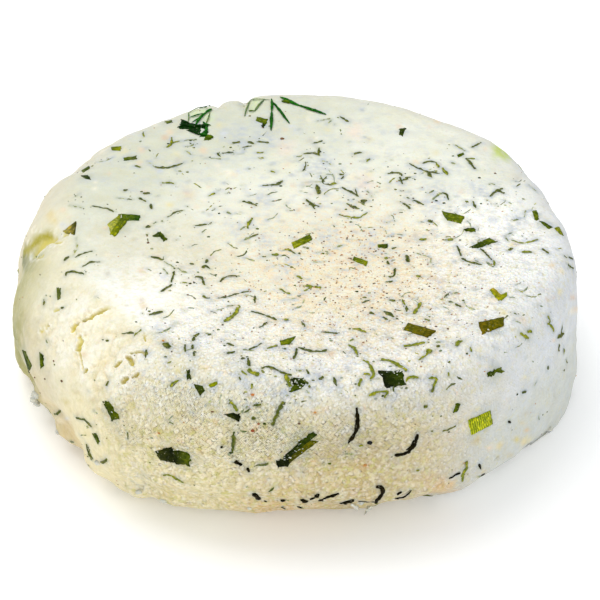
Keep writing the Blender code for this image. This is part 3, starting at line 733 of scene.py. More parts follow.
        ("tick_138", 2.1, (134, 336), (141, 330)), ("tick_174", 2.2, (170, 386.7), (178.5, 380)),
        ("bit_272", 2.2, (266.7, 348.5), (277.5, 346)), ("dash_359", 2.9, (352.5, 328.5), (359, 330), (366, 332.5)),
        ("bit_352", 2.7, (350, 341), (353.5, 339.7)), ("arc_353", 2.8, (348.5, 345), (354, 348.5), (357.5, 355)),
        ("arc_368", 3.2, (363.5, 360), (370, 365), (373.5, 375), (370, 379)),
        ("arc_in", 2.6, (363.5, 374), (370, 375)), ("leaf_244", 2.7, (241.7, 371), (246.7, 375)),
        ("leaf_254", 4.4, (248.5, 370), (254, 373), (259, 375)), ("leaf_251", 2.1, (251.7, 384), (251.7, 389)),
        ("feather_289", 4.2, (285.5, 375), (288, 381), (290.5, 386.7)),
        ("tick_360", 3.1, (361.7, 378.5), (358.5, 386)), ("tick_372", 2.7, (369, 396), (375.5, 393)),
        ("slant_234", 3.0, (230, 401.7), (234, 406), (237.5, 411)),
        ("blade_414", 3.5, (404, 346.7), (413.5, 345), (425, 342.5)),
        ("frog_425", 2.6, (419, 360), (425, 356), (428, 352)), ("frog_430", 5.2, (427, 352.5), (431.5, 350.5)),
        ("cap_459", 4.2, (456, 346), (458.5, 342.5), (462.5, 341)), ("pale_471", 2.1, (470, 347.5), (471.7, 351.7)),
        ("slash_524", 3.4, (520, 333.5), (528.5, 338.5)), ("slash_529", 3.8, (527.3, 331.7), (531.3, 331)),
        ("side_551", 2.5, (547.5, 323.5), (551.7, 326.7), (554, 331.7)),
        ("side_564", 1.7, (563.5, 348.5), (564, 354)), ("bit_448", 2.9, (448.5, 372.5), (449, 376)),
        ("arc_390", 3.6, (381, 360), (390, 361), (400, 366), (406.7, 371)),
        ("tail_412", 2.6, (406, 381.7), (409, 377.5), (418.5, 377.5)),
        ("hook_383", 2.2, (375, 392.5), (386, 391.7), (387.5, 393.5), (384, 397.5)),
        ("seven_433", 3.1, (428.5, 378.5), (436, 378.7), (433.5, 386.7)),
        ("arc_174", 2.5, (163.5, 475), (170, 475), (177, 478.5), (183.5, 483)),
        ("gecko_464", 3.4, (466, 461.7), (466, 467.5), (462.5, 474), (462.5, 481)),
        ("bit_417", 2.5, (416, 470), (419, 470)), ("bit_361", 2.2, (359, 446), (363.5, 446)),
    ),
    "veiled": (
        ("rim_thread", 1.7, (97, 162), (105, 161), (113, 157.5)),
        ("curve_tail", 1.6, (148, 161), (151, 164), (155, 167)), ("thread_116", 1.6, (116, 198), (127, 199)),
        ("grey_76", 2.3, (70, 205), (82, 207.5)), ("bit_77", 2.2, (75.5, 196.7), (79.5, 194.5)),
        ("fork_loop", 1.6, (180, 142), (186, 140.5), (193, 140), (193, 145), (186, 146.5)),
        ("bit_189", 1.9, (186, 151), (191.7, 155)), ("thread_212", 1.8, (203, 158), (212, 158.3), (221, 159)),
        ("thread_238", 1.7, (233, 154), (242, 153.5), (245, 148.5)),
        ("pair_323", 2.2, (317.5, 121), (324, 120), (330, 118.5)), ("pair_329", 2.2, (327, 124), (331.7, 120)),
        ("wisp_326", 2.2, (321.7, 161), (327, 162), (331, 165)),
        ("thread_326", 1.4, (318.5, 173.3), (326, 174), (333.5, 175)),
        ("thread_311", 1.6, (304, 183), (313, 182), (322, 182)),
        ("thread_369", 2.0, (366.7, 191), (370, 194), (372.5, 197)),
        ("wisp_460", 2.2, (455, 145), (460, 148), (465, 151)), ("bit_453", 2.4, (451.7, 162.5), (455, 164)),
        ("cross_493", 2.4, (491.5, 183.5), (495, 185)), ("thread_405", 1.6, (400, 191), (410, 191.7)),
        ("cloud_437", 2.4, (432.5, 200), (436.7, 196), (442.5, 192.5)), ("wisp_532", 2.2, (528.5, 185), (536, 191)),
        ("blue_152", 2.4, (150, 226), (156, 222)), ("ledge_37", 2.2, (32.5, 256), (37, 257), (41.7, 255)),
        ("stem_76", 1.5, (76, 238), (76.7, 248), (72.5, 256.7)),
        ("twig_170", 1.8, (164, 261.7), (171.7, 266), (174.7, 269)), ("blue_165", 1.9, (163, 268), (167.5, 274)),
        ("blue_183", 2.6, (179, 269), (182.5, 271.7), (186.7, 272.5)), ("leaf_229", 2.5, (227, 212), (231, 214)),
        ("sprout_root", 1.7, (246, 226), (240, 230)), ("grey_250", 2.5, (241.7, 241), (250, 237.5)),
        ("grey_319", 1.6, (313, 261.7), (319, 262.3), (325, 261.5)),
        ("brown_322", 1.5, (316, 252.5), (327.5, 251.7), (327.5, 255)), ("dash_290", 1.7, (284, 300), (296.7, 298)),
        ("thin_339", 2.1, (336, 248), (342.5, 245)), ("grey_354", 1.6, (349, 240), (359, 240.5)),
        ("grey_390", 2.2, (386, 222.5), (394, 221)), ("thread_395", 1.6, (388, 236), (396, 234.5), (402.5, 235)),
        ("thread_424", 1.6, (416, 253), (424, 255.5), (430, 258), (431, 263)),
        ("arc_leg", 1.7, (475, 260), (481.7, 264)), ("blue_506", 2.2, (505, 236), (508, 241)),
        ("thin_511", 1.4, (506, 235), (513, 232.5)), ("cloud_518", 2.5, (513, 220.5), (519, 219)),
        ("cloud_524", 1.9, (524, 218), (525.5, 211)), ("grey_455", 1.9, (451, 293.5), (459, 292.5)),
        ("grey_475", 1.7, (473.5, 289), (478, 289)), ("thin_47", 1.6, (46, 340), (48.5, 347.5)),
        ("haze_166", 1.7, (175, 324), (165, 331), (156.7, 333.5)), ("arm_248", 1.7, (243, 349.5), (254, 350.5)),
        ("bit_300", 2.2, (298.5, 370.5), (302, 371)), ("bug_arm", 1.7, (240, 414), (244, 409), (248.5, 405)),
        ("blue_440", 2.2, (436, 342.5), (443.5, 341.5)), ("thin_535", 1.9, (534, 386), (536.7, 381.7)),
        ("thin_539", 1.9, (538.5, 416), (539, 420)), ("loop_322", 1.6, (322, 464), (323, 459)),
        ("loop_326", 1.6, (323.5, 465), (329, 461.7)), ("grey_350", 2.1, (345, 454), (354, 454)),
    ),
    "wet": (
        ("rod_354", 4.0, (356.7, 407.5), (357.5, 420), (356, 430), (352, 438), (348, 443)),
        ("sickle_405", 3.6, (417, 434), (415.5, 443), (409, 451), (402, 454), (394.5, 455)),
        ("sickle_in", 2.1, (414, 440), (411, 446), (406, 450)), ("dot_222", 2.2, (220.7, 446.3), (222.7, 447.5)),
        ("chip_238", 4.2, (235, 461), (241.7, 465)), ("bit_248", 2.9, (247.5, 467.5), (249, 471.7)),
        ("chunk_256", 4.8, (254, 493), (256.5, 496), (259, 499)), ("bit_265", 2.1, (263.7, 501), (267, 501)),
        ("chunk_283", 4.0, (280.5, 500), (285.5, 500)), ("foot_283", 2.3, (281.7, 507), (285, 508.5)),
        ("foot_300", 2.3, (297.5, 506), (302.5, 508.3)), ("chunk_305", 5.6, (302, 499), (305, 501), (307.5, 501.7)),
        ("worm_314", 2.5, (310, 499), (315, 497.5)), ("worm_end", 3.8, (315, 497), (319.3, 494)),
        ("stick_329", 3.8, (318.5, 501), (328.5, 496.7), (339, 493.5)),
        ("chunk_348", 5.2, (341, 503), (348.5, 501), (354, 500)),
        ("thread_366", 1.9, (358.5, 501), (366, 502), (374, 501.7)),
        ("chunk_380", 4.8, (376, 486.7), (381.7, 487.5), (382.5, 492.5), (378.5, 498.5), (376, 502)),
        ("bit_399", 2.9, (396.7, 494), (401.7, 491.7)), ("arc_403", 2.1, (395, 498.5), (405, 496.2), (411, 490)),
        ("tick_454", 2.3, (449, 478.5), (460, 472.5)), ("chip_480", 2.9, (479, 464), (480.7, 468.7)),
        ("edge_483", 2.6, (481.5, 475), (484.5, 473.7)), ("dot_509", 3.0, (508, 421.3), (510, 422.4)),
    ),
}

HEIGHTS = {"veiled": -0.1, "olive": 0.06, "dark": 0.05, "wet": 0.08}  # mm, of a thread's middle line
dill = Pile("chopped_dill")
herb_stations = []  # where herbs lie and how far, for the haze that they give the curd
for tone, threads in DILL.items():
    for name, width, *corners in threads:
        stations = stroke(corners)
        if len(stations) < 2:
            print("no skin under", name)
            continue
        knobby, film = (0.7, 0.0) if tone == "wet" else (1.0, 0.2)
        height, width_there = HEIGHTS[tone] * MM, width * PIXEL * DISTANCE
        dill.take(thread(stations, width_there, height, TONES[tone], knobby=knobby, film=film))
        herb_stations.extend((point, width / 2.5) for point, _, _ in stations)
print(dill.count, "threads have a place of their own")

# %% [markdown]
# Between them lie many faint bits that a film of curd half hides. They are too many to place by hand, so seeded
# chance scatters them about the places where the herbs gather.

# %% Faint threads
chance = random.Random(11)
GATHERED = (  # place in the frame, spread in pixels, bits
    ((300, 165), (95, 26), 44), ((250, 240), (75, 34), 38), ((400, 215), (75, 30), 40), ((470, 250), (50, 40), 26),
    ((350, 305), (95, 30), 38), ((170, 250), (45, 45), 14), ((285, 385), (70, 22), 30), ((470, 320), (50, 50), 16),
    ((150, 440), (55, 30), 10),
)
SLANT = 35  # degrees either way, for most
FAINT_REACHES, FAINT_WIDTHS, FAINT_HEIGHTS = (2.5, 8), (1.0, 2.0), (-0.18, -0.02)  # pixels, pixels, mm
FAINT_TONES = ((146, 156, 134, 0), (112, 122, 76, 0), (164, 172, 156, 0), (82, 90, 40, 0), (132, 134, 54, 0))
for (x, y), spread, bits in GATHERED:
    for _ in range(bits):
        start = np.array((chance.gauss(x, spread[0]), chance.gauss(y, spread[1])))
        slant, bend = math.radians(chance.gauss(0, SLANT)), chance.uniform(-0.9, 0.9)
        ahead = np.array((math.cos(slant), math.sin(slant))) * chance.uniform(*FAINT_REACHES)
        corners = (start - ahead, start + bend * ahead[::-1] * (1, -1) * 0.4, start + ahead)
        stations = stroke(corners, 2.0)
        if len(stations) > 2:
            width = chance.uniform(*FAINT_WIDTHS) * PIXEL * DISTANCE
            dill.take(thread(stations, width, chance.uniform(*FAINT_HEIGHTS) * MM, chance.choice(FAINT_TONES)))
            herb_stations.append((stations[0][0], 0.8))
print(dill.count, "threads with the faint ones")

# %% [markdown]
# ## Green onion cuts
#
# The leaves of green onion are flat tubes with fine ribs, and the knife leaves small oblongs of them. Cutting them
# from a textured sheet would be quick, but their ragged edges and slight curl catch the light, so each one is a
# grid that is stretched over its four corners, extruded to a slab and set in the skin.

# %% How a flat cut is made
COLUMNS, ROWS = 10, 6
CURL, SLAB = 0.15, 0.8  # mm


def in_frame(a, b, c, d):
    """Places for a cut by its four corners in the frame, the ribs running from a to b."""
    a, b, c, d = (np.array(corner, float) for corner in (a, b, c, d))
    return lambda s, t: spot(*((a * (1 - s) + b * s) * (1 - t) + (d * (1 - s) + c * s) * t))


def on_skin(station, length, width):
    """Places for a cut of this size about a station."""
    point, out, ahead = station
    side = out.cross(ahead)
    return lambda s, t: settle(point + ahead * (s - 0.5) * length + side * (t - 0.5) * width)[0]


def flat_cut(places, lift, ragged=0.26):
    """A thin slab over the places, its upper face this high above the skin, with ribs marked in millimetres."""
    corners = [places(s, t) for s, t in ((0, 0), (1, 0), (0, 1))]
    if None in corners:
        return None
    long, wide = ((corners[n] - corners[0]).length / MM for n in (1, 2))
    shape = bmesh.new()
    bmesh.ops.create_grid(shape, x_segments=COLUMNS, y_segments=ROWS, size=0.5)
    raised = bmesh.ops.extrude_face_region(shape, geom=shape.faces, use_keep_orig=True)["geom"]
    bmesh.ops.translate(shape, verts=[v for v in raised if isinstance(v, bmesh.types.BMVert)], vec=(0, 0, 1))
    bmesh.ops.recalc_face_normals(shape, faces=shape.faces)
    ribs = shape.loops.layers.uv.new("along_veins")
    for face in shape.faces:
        for loop in face.loops:
            loop[ribs].uv = ((loop.vert.co.x + 0.5) * long, (loop.vert.co.y + 0.5) * wide)
    for vertex in shape.verts:
        s, t, upper = vertex.co.x + 0.5, vertex.co.y + 0.5, vertex.co.z > 0.5
        rag = Vector((s * long, t * wide, 3 + long)) * 1.3
        s += ragged * (noise.noise(rag) + 0.7 * noise.noise(rag * 2.7)) / max(1, long)
        t += ragged * (noise.noise(rag + Vector((5, 9, 2))) + 0.7 * noise.noise(rag * 3.1)) / max(1, wide)
        point = places(s, t)
        if point is None:
            shape.free()
            return None
        rim = max(abs(2 * s - 1) ** 6, abs(2 * t - 1) ** 6)
        curl = CURL * (2 * t - 1) ** 2 * noise.noise(rag * 0.15)
        swell = lift * (1 - 0.6 * min(1, rim)) + curl + 0.05 * noise.noise(rag)
        vertex.co = point + facing(point) * (swell if upper else lift - SLAB) * MM
    return shape


print("a cut's upper side has", COLUMNS * ROWS, "faces")

# %% [markdown]
# The colour of a cut runs from bright yellow-green through olive to nearly black, and some cuts change along their
# length, so each has a tone for its first and its last end.

# %% Cuts with a place of their own
FRESH, BRIGHT, LEAF = (136, 144, 6), (176, 186, 34), (88, 104, 6)
DEEP, BLACK, BROWN = (48, 64, 6), (16, 22, 3), (98, 88, 4)
OCHRE, MURK = (170, 150, 40), (88, 98, 44)
CUTS = (  # name, corners, tone at the first end, tone at the last, ribs, lift in mm
    ("striped", (471, 435), (468, 420), (490.5, 410.5), (492.5, 424), BRIGHT, BRIGHT, 0.75, 0.35),
    ("slab_491", (478.5, 322.5), (504, 317), (503.5, 326.5), (482, 334.5), BROWN, (92, 90, 4), 0.2, 0.30),
    ("slab_419", (408, 323), (436.5, 331), (428, 338), (403, 330), (98, 98, 8), (94, 86, 4), 0.3, 0.28),
    ("slab_453", (441, 211), (465, 216.5), (461, 223.5), (447, 220.5), LEAF, (112, 124, 16), 0.3, 0.28),
    ("slab_482", (469, 247.5), (489, 238), (497, 242), (478, 248.5), DEEP, LEAF, 0.3, 0.24),
    ("slab_302", (291.5, 243), (310, 234.5), (312.5, 240), (294, 249), FRESH, LEAF, 0.3, 0.30),
    ("slab_360", (354, 256.5), (367.5, 261.5), (366, 266), (352.5, 260.5), LEAF, FRESH, 0.3, 0.20),
    ("fork_left", (489.5, 290), (493, 287.5), (503, 296), (499, 301.5), FRESH, OCHRE, 0.3, 0.2),
    ("fork_right", (499, 296), (507, 292), (507.5, 295.5), (501, 301.5), FRESH, FRESH, 0.3, 0.24),
    ("cut_538", (532, 211), (536.5, 210), (539.5, 219.5), (535.5, 221), LEAF, LEAF, 0.3, 0.15),
    ("cut_545", (539, 221), (543, 221.5), (553, 227), (549, 229.5), LEAF, DEEP, 0.3, 0.2),
    ("cut_559", (554, 228), (559, 226.5), (564, 236), (560, 234.5), FRESH, LEAF, 0.3, 0.15),
    ("cut_261", (256.5, 117), (267.5, 119.5), (266, 124.5), (256, 121), LEAF, LEAF, 0.3, 0.25),
    ("cut_263", (262, 123), (266, 123), (265, 128.5), (261.5, 127), DEEP, DEEP, 0.3, 0.15),
    ("fold_pale", (107.5, 224), (121, 214), (120, 223), (111, 234), (184, 186, 88), (132, 142, 30), 0.4, 0.15),
    ("fold_upper", (121, 214), (140.5, 216), (139, 220.5), (124, 221), LEAF, (42, 78, 10), 0.3, 0.35),
    ("fold_lower", (110, 234), (121.5, 217.5), (127.5, 221), (114.5, 237), FRESH, LEAF, 0.3, 0.4),
    ("cut_161", (157, 232), (160, 231.5), (167.5, 240), (163.5, 242), DEEP, LEAF, 0.3, 0.2),
    ("cut_155", (152.5, 235.5), (158, 232.5), (160, 237), (154, 237), MURK, DEEP, 0.2, 0.1),
    ("cut_71", (63, 231), (76.5, 221), (75, 234), (66, 234), (188, 172, 92), (64, 66, 10), 0.3, 0.12),
    ("cut_58", (56.5, 287.5), (61, 287.5), (60.5, 299), (57.5, 300), MURK, MURK, 0.2, 0.1),
    ("cut_112", (102.5, 401.5), (108, 401), (121.7, 419.7), (111.5, 420), DEEP, (84, 96, 6), 0.4, 0.22),
    ("black_165", (155, 451), (172, 447), (176.5, 463.5), (160, 460), (52, 58, 8), BLACK, 0.3, 0.30),
    ("black_181", (172, 448.5), (189.5, 453.5), (191, 466), (175, 463.5), BLACK, (72, 86, 12), 0.35, 0.36),
    ("cut_96", (92.3, 433.5), (96.3, 433), (99.8, 441), (98, 444.5), LEAF, DEEP, 0.3, 0.2),
    ("side_27", (22, 350), (25.5, 351), (32, 366), (29, 373), DEEP, LEAF, 0.2, 0.12),
    ("side_43", (39.5, 352), (43.5, 355), (44, 366), (40.5, 369), LEAF, DEEP, 0.3, 0.2),
    ("light_213", (209, 384), (216, 381.5), (217.5, 384.5), (210.5, 388), FRESH, FRESH, 0.3, 0.2),
    ("cut_287", (280, 341), (296, 336.5), (290, 344), (281, 345.5), (104, 116, 16), LEAF, 0.3, 0.25),
    ("long_297", (289, 463.5), (317.5, 441.5), (309.5, 440), (288, 455.5), (70, 70, 4), (100, 98, 6), 0.4, 0.3),
    ("long_black", (285, 461), (316.5, 435), (311.5, 432.5), (283.5, 456.5), BLACK, DEEP, 0.2, 0.42),
    ("long_head", (276.5, 460), (289, 458.5), (289.5, 466), (278, 467), BLACK, BLACK, 0.2, 0.35),
    ("black_392", (378, 371), (402, 371), (405.5, 385), (387, 388), BLACK, DEEP, 0.35, 0.32),
    ("clump_top", (289.5, 379), (303, 378), (306, 384.5), (294, 386), BLACK, DEEP, 0.2, 0.3),
    ("clump_low", (289.5, 392), (293, 384.5), (304.5, 383.5), (300.5, 390), DEEP, (70, 84, 6), 0.2, 0.25),
    ("wedge_198", (193.5, 384), (203, 386), (204.5, 391), (200, 396), (60, 68, 14), DEEP, 0.2, 0.2),
    ("wedge_188", (186.5, 370.5), (190.5, 369.5), (192, 378), (187, 380), DEEP, (60, 66, 16), 0.2, 0.2),
    ("bug_231", (224, 414.5), (234, 412.5), (240.5, 416.5), (238, 421), (38, 46, 6), BLACK, 0.2, 0.25),
    ("bug_239", (233, 416), (239, 413.5), (241, 418), (237, 421.5), BLACK, BLACK, 0.2, 0.3),
    ("cut_495", (486.5, 373), (501.5, 367), (502.8, 371), (488, 377), DEEP, (104, 116, 10), 0.3, 0.25),
    ("cut_457", (456, 403), (460.5, 403.5), (457, 412), (452.8, 413), LEAF, DEEP, 0.3, 0.25),
    ("cut_470", (464, 228.5), (475, 228), (476.5, 232), (466, 231.5), DEEP, LEAF, 0.3, 0.2),
    ("cut_384", (377.5, 244.5), (388, 244), (388, 248.5), (379, 248), LEAF, DEEP, 0.3, 0.2),
    ("cut_402", (400, 128.5), (406, 128), (402.5, 136), (399, 135), DEEP, DEEP, 0.3, 0.2),
    ("cut_113", (111, 147), (121, 146.5), (120.5, 151), (112, 150.5), LEAF, FRESH, 0.3, 0.18),
    ("cut_130", (123, 158), (136, 156), (136.5, 159.5), (124, 161), LEAF, MURK, 0.3, 0.15),
    ("cut_85", (81.5, 170.5), (89, 166), (90, 168.5), (83, 173), LEAF, DEEP, 0.3, 0.2),
    ("cut_86", (81, 175.5), (87, 175), (92, 180), (84, 178.5), DEEP, DEEP, 0.3, 0.18),
    ("cut_461", (457, 155), (463.5, 152.5), (464.5, 154.5), (458.5, 157.5), LEAF, LEAF, 0.3, 0.2),
    ("rim_168", (165, 121.5), (171, 120), (173, 122.5), (167, 124), LEAF, MURK, 0.3, 0.15),
)


def tinted(shape, first, last, ribs):
    """Gives a cut its tone, running from its first end to its last."""
    layer = shape.verts.layers.float_color.new("tone")
    ribs_uv = shape.loops.layers.uv["along_veins"]
    longest = max(loop[ribs_uv].uv.x for face in shape.faces for loop in face.loops)
    ends = np.array(pigment(*first)), np.array(pigment(*last))
    for vertex in shape.verts:
        along = vertex.link_loops[0][ribs_uv].uv.x / longest
        share = min(1, max(0, along + 0.35 * rough_at(vertex.co, 1.8)))
        vertex[layer] = (*(ends[0] * (1 - share) + ends[1] * share), ribs)
    return shape


onion = Pile("green_onion_cuts")
for name, *corners, first, last, ribs, lift in CUTS:
    shape = flat_cut(in_frame(*corners), lift, ragged=0.6 if {BLACK, DEEP} & {first} else 0.3)
    if shape is None:
        print("no skin under", name)
        continue
    onion.take(tinted(shape, first, last, ribs))
    middle = np.mean(corners, axis=0)
    width = float(np.linalg.norm(np.subtract(corners[0], corners[2])))
    herb_stations.append((spot(*middle), width / 3))
print(onion.count, "cuts have a place of their own")

# %% [markdown]
# ## The far side
#
# A cheese seen from every side has herbs all round, so the skin that the camera doesn't reach gets the same kinds
# at the same density. Seeded chance gives their places, and a place that the camera sees is passed over.

# %% Herbs on the far side
FAR_THREADS, FAR_CUTS = 150, 26
FAR_SHARES, TURNED_AWAY = (0.25, 0.64), -0.12
FAR_HEIGHTS = {"dark": 0.02, "olive": 0.02, "veiled": -0.1}  # mm
FAR_LENGTHS, FAR_WIDTHS, FAR_BEND = (1.0, 5.2), (0.42, 0.95), 80  # mm, mm, degrees
FAR_STEP, CUT_RUN = 0.6 * MM, 1 * MM
CUT_LENGTHS, CUT_WIDTHS = (2, 5.5), (1, 2.4)  # mm


def far_place():
    """A place out of the camera's view, as angle and share."""
    while True:
        angle, share = chance.uniform(0, 360), chance.uniform(*FAR_SHARES)
        point, out = (Vector(v) for v in form(angle, share))
        if (EYE - point).normalized().dot(out) < TURNED_AWAY:
            return angle, share


for _ in range(FAR_THREADS):
    angle, share = far_place()
    length, bend = chance.uniform(*FAR_LENGTHS), chance.uniform(-FAR_BEND, FAR_BEND)
    tone = chance.choice(("dark", "dark", "olive", "veiled", "veiled"))
    stations = wander(angle, share, chance.uniform(0, 360), length * MM, bend, FAR_STEP)
    dill.take(thread(stations, chance.uniform(*FAR_WIDTHS) * MM, FAR_HEIGHTS[tone] * MM, TONES[tone]))
    herb_stations.extend((station[0], 1) for station in stations)
for _ in range(FAR_CUTS):
    angle, share = far_place()
    station = wander(angle, share, chance.uniform(0, 360), CUT_RUN, 0, CUT_RUN / 2)[1]
    shape = flat_cut(on_skin(station, chance.uniform(*CUT_LENGTHS) * MM, chance.uniform(*CUT_WIDTHS) * MM), 0.2)
    first, last = chance.choice((FRESH, LEAF, DEEP)), chance.choice((LEAF, DEEP, MURK))
    onion.take(tinted(shape, first, last, 0.3))
    herb_stations.append((station[0], 3))
print(dill.count, "threads and", onion.count, "cuts in all")

# %% [markdown]
# ## Two sprigs on the back rim
#
# Two sprigs of fresh dill lie over the back edge. A sprig is a stem with fine needles that taper to a point. The
# needles of each are threads that swell at the root, and they replace the flat needles of the packed model.

# %% The sprigs
STEM, NEEDLE, SHADED = (24, 98, 14, 0.1), (24, 88, 16, 0.1), (8, 46, 4, 0.1)
DUSKY, OLIVE_END = (96, 122, 84, 0.1), (78, 104, 2, 0.1)
SPRIGS = {  # tone, width in frame pixels, places
    "dill_sprig_left": (
        (STEM, 3.4, (212, 109.5), (209, 111.5), (205, 114)),
        (STEM, 3.2, (207, 112.5), (202, 117), (198, 122), (195, 126)),
        (NEEDLE, 2.2, (205, 114), (198, 116), (190, 118)),
        (DUSKY, 1.7, (210, 113), (208.5, 119), (205.5, 125)),
        (DUSKY, 1.4, (208, 109), (201, 108.5), (194, 111), (188.5, 114)),
        (DUSKY, 1.6, (188.5, 113), (189, 118), (188, 123)),
        (NEEDLE, 2.0, (203, 117), (198, 120), (192, 123)),
        (SHADED, 4.0, (177.5, 128), (184, 126), (190, 127), (197, 127.5)),
        (SHADED, 3.6, (181, 120), (185, 123), (191, 125)),
        (SHADED, 3.6, (189, 131), (194, 133), (200, 135.5)),
        (SHADED, 3.4, (194, 126), (201, 127), (208, 127.5)),
        (NEEDLE, 3.6, (204, 134.5), (206.5, 131), (206, 126)),
        (NEEDLE, 2.4, (203, 122), (205, 125), (211, 126)),
        (NEEDLE, 3.2, (198, 134.5), (204, 135.5), (210, 137)),
        (OLIVE_END, 5.6, (205, 138), (209, 138), (213.5, 137.5)),
    ),
    "dill_sprig_right": (
        (STEM, 3.4, (271.5, 99.5), (272, 105), (271.7, 112)),
        (NEEDLE, 3.6, (271.8, 111), (271.4, 121), (271, 131)),
        (NEEDLE, 3.0, (272, 102), (277, 108), (283, 116), (289.5, 124)),
        (NEEDLE, 2.4, (271, 126), (268.5, 127)),
        (STEM, 4.2, (280, 97.5), (285, 100), (292, 103.5), (300, 106.5)),
        (NEEDLE, 3.8, (298, 105.5), (310, 110), (318, 112.5), (326, 115)),
        (OLIVE_END, 5.0, (281.5, 101.5), (286, 102.5), (291, 103.5)),
        (DUSKY, 2.4, (264, 100.5), (259, 106), (254.5, 112)),
        (DUSKY, 1.8, (250.5, 102), (247, 109), (244.5, 117)),
        (OLIVE_END, 2.2, (248.5, 111), (252, 112), (255, 111.5)),
        (DUSKY, 1.5, (247, 107.5), (250, 102), (255, 100.5), (263, 100.5), (270, 100.5)),
    ),
}
FAR_NEEDLES = (  # the needles behind the rim: heading from down the wall, length in mm, bend
    (88, 12.0, 0),
    (58, 9.0, -12),
    (118, 8.0, 10),
)
LYING = 0.22 * MM  # a needle's middle line over the skin
FAR_NEEDLE_WIDTH, FAR_NEEDLE_STEP = 0.5 * MM, 1 * MM
ROOT_BELOW, RUN_BELOW = 0.02, 0.03  # shares below the sprig's place
SPRIG_PLACES = {"dill_sprig_left": (109.5, 0.345), "dill_sprig_right": (94.5, 0.36)}


def needle(stations, width, tone, bow=0.2 * MM):
    """A needle that swells near its root and tapers to a point."""
    lifted = []
    for number, (point, out, ahead) in enumerate(stations):
        share = number / (len(stations) - 1)
        lifted.append((point + out * (LYING + bow * math.sin(math.pi * share)), out, ahead))
    return thread(lifted, width, 0, tone, tip=0.3, dip=0, knobby=0.35, film=0.0)


MATS = {  # corners in the frame, tone, where the needles are matted together
    "dill_sprig_left": (
        ((179, 129), (182, 120.5), (192, 124), (190, 129.5), SHADED),
        ((187, 131), (189, 123.5), (201, 125), (200, 134.5), SHADED),
        ((197, 127), (198, 124.5), (209, 125.5), (207, 129.5), (16, 70, 12, 0.1)),
        ((200, 136.5), (203.5, 131), (208, 131), (207, 136.5), (20, 84, 12, 0.1)),
        ((204.5, 140), (206, 136), (213.5, 136.5), (212, 140), OLIVE_END),
    ),
}
sprigs = []
for name, needles in SPRIGS.items():
    sprig = Pile(name + "_needles")
    for *corners, tone in MATS.get(name, ()):
        mat = flat_cut(in_frame(*corners), 0.25, ragged=0.8)
        if mat is not None:
            sprig.take(tinted(mat, tone[:3], tone[:3], 0.1))
    for tone, width, *corners in needles:
        stations = stroke(corners, spacing=2.0)
        if len(stations) > 1:
            sprig.take(needle(stations, width * PIXEL * DISTANCE, tone))
    angle, share = SPRIG_PLACES[name]
    root, out = settle(Vector(form(angle, share + ROOT_BELOW)[0]))
    for heading, length, bend in FAR_NEEDLES:
        run = wander(angle, share + RUN_BELOW, heading, length * MM, bend, FAR_NEEDLE_STEP)
        shift = root - run[0][0]
        points = [settle(point + shift)[0] for point, _, _ in run]
        sprig.take(needle(with_ahead(points), FAR_NEEDLE_WIDTH, NEEDLE, bow=0))
    sprigs.append((name, sprig))
print([(name, sprig.count) for name, sprig in sprigs])

# %% [markdown]
# ## Pepper and crumbs of herb
#
# Ground pepper was dusted over the middle and caught in the grain of the curd. The coarser grains are real bits
# here, half sunk, and only the finest dust is left to the material. Small crumbs of herb lie between the threads.

# %% Pepper
PEPPER_MIDDLE, PEPPER_SPREAD = (364, 280), (58, 38)  # frame pixels
PEPPER_GRAINS, STRAY_GRAINS, HERB_CRUMBS = 560, 150, 700
PEPPER_SIZE, HERB_CRUMB_SIZE = (0.22, 0.3), (0.2, 0.55)  # mm: the least, and how much more the largest has
STRAY_SIZES, STRAY_END = (0.2, 0.42), 0.62  # mm, and the share that the strays reach down to
GRAIN_LONG, GRAIN_WIDE, GRAIN_LIFT = 1.25, 0.85, 0.06  # times its size, times its size, mm
CRUMB_ASIDE = 1.5  # mm that a herb crumb lies aside, and more beside a wide herb
PEPPER_TONES = ((158, 118, 88), (136, 98, 70), (222, 180, 134), (206, 150, 104), (176, 140, 110), (84, 66, 50))
CRUMB_TONES = ((48, 62, 14), (96, 108, 12), (150, 158, 130), (168, 172, 160), (108, 114, 76))


def grain(point, out, size, tone, flat=0.7):
    """A rough bit, half sunk in the skin."""
    shape = bmesh.new()
    bmesh.ops.create_icosphere(shape, subdivisions=1, radius=size / 2)
    layer = shape.verts.layers.float_color.new("tone")
    turned = out.to_track_quat("Z", "Y").to_matrix()
    for vertex in shape.verts:
        rough = 1 + 0.5 * rough_at(point, 0.5, vertex.co / (0.3 * size))
        local = Vector((vertex.co.x * GRAIN_LONG, vertex.co.y * GRAIN_WIDE, vertex.co.z * flat)) * rough
        vertex.co = point + turned @ local + out * GRAIN_LIFT * MM
        vertex[layer] = (*pigment(*tone), 0)
    return shape


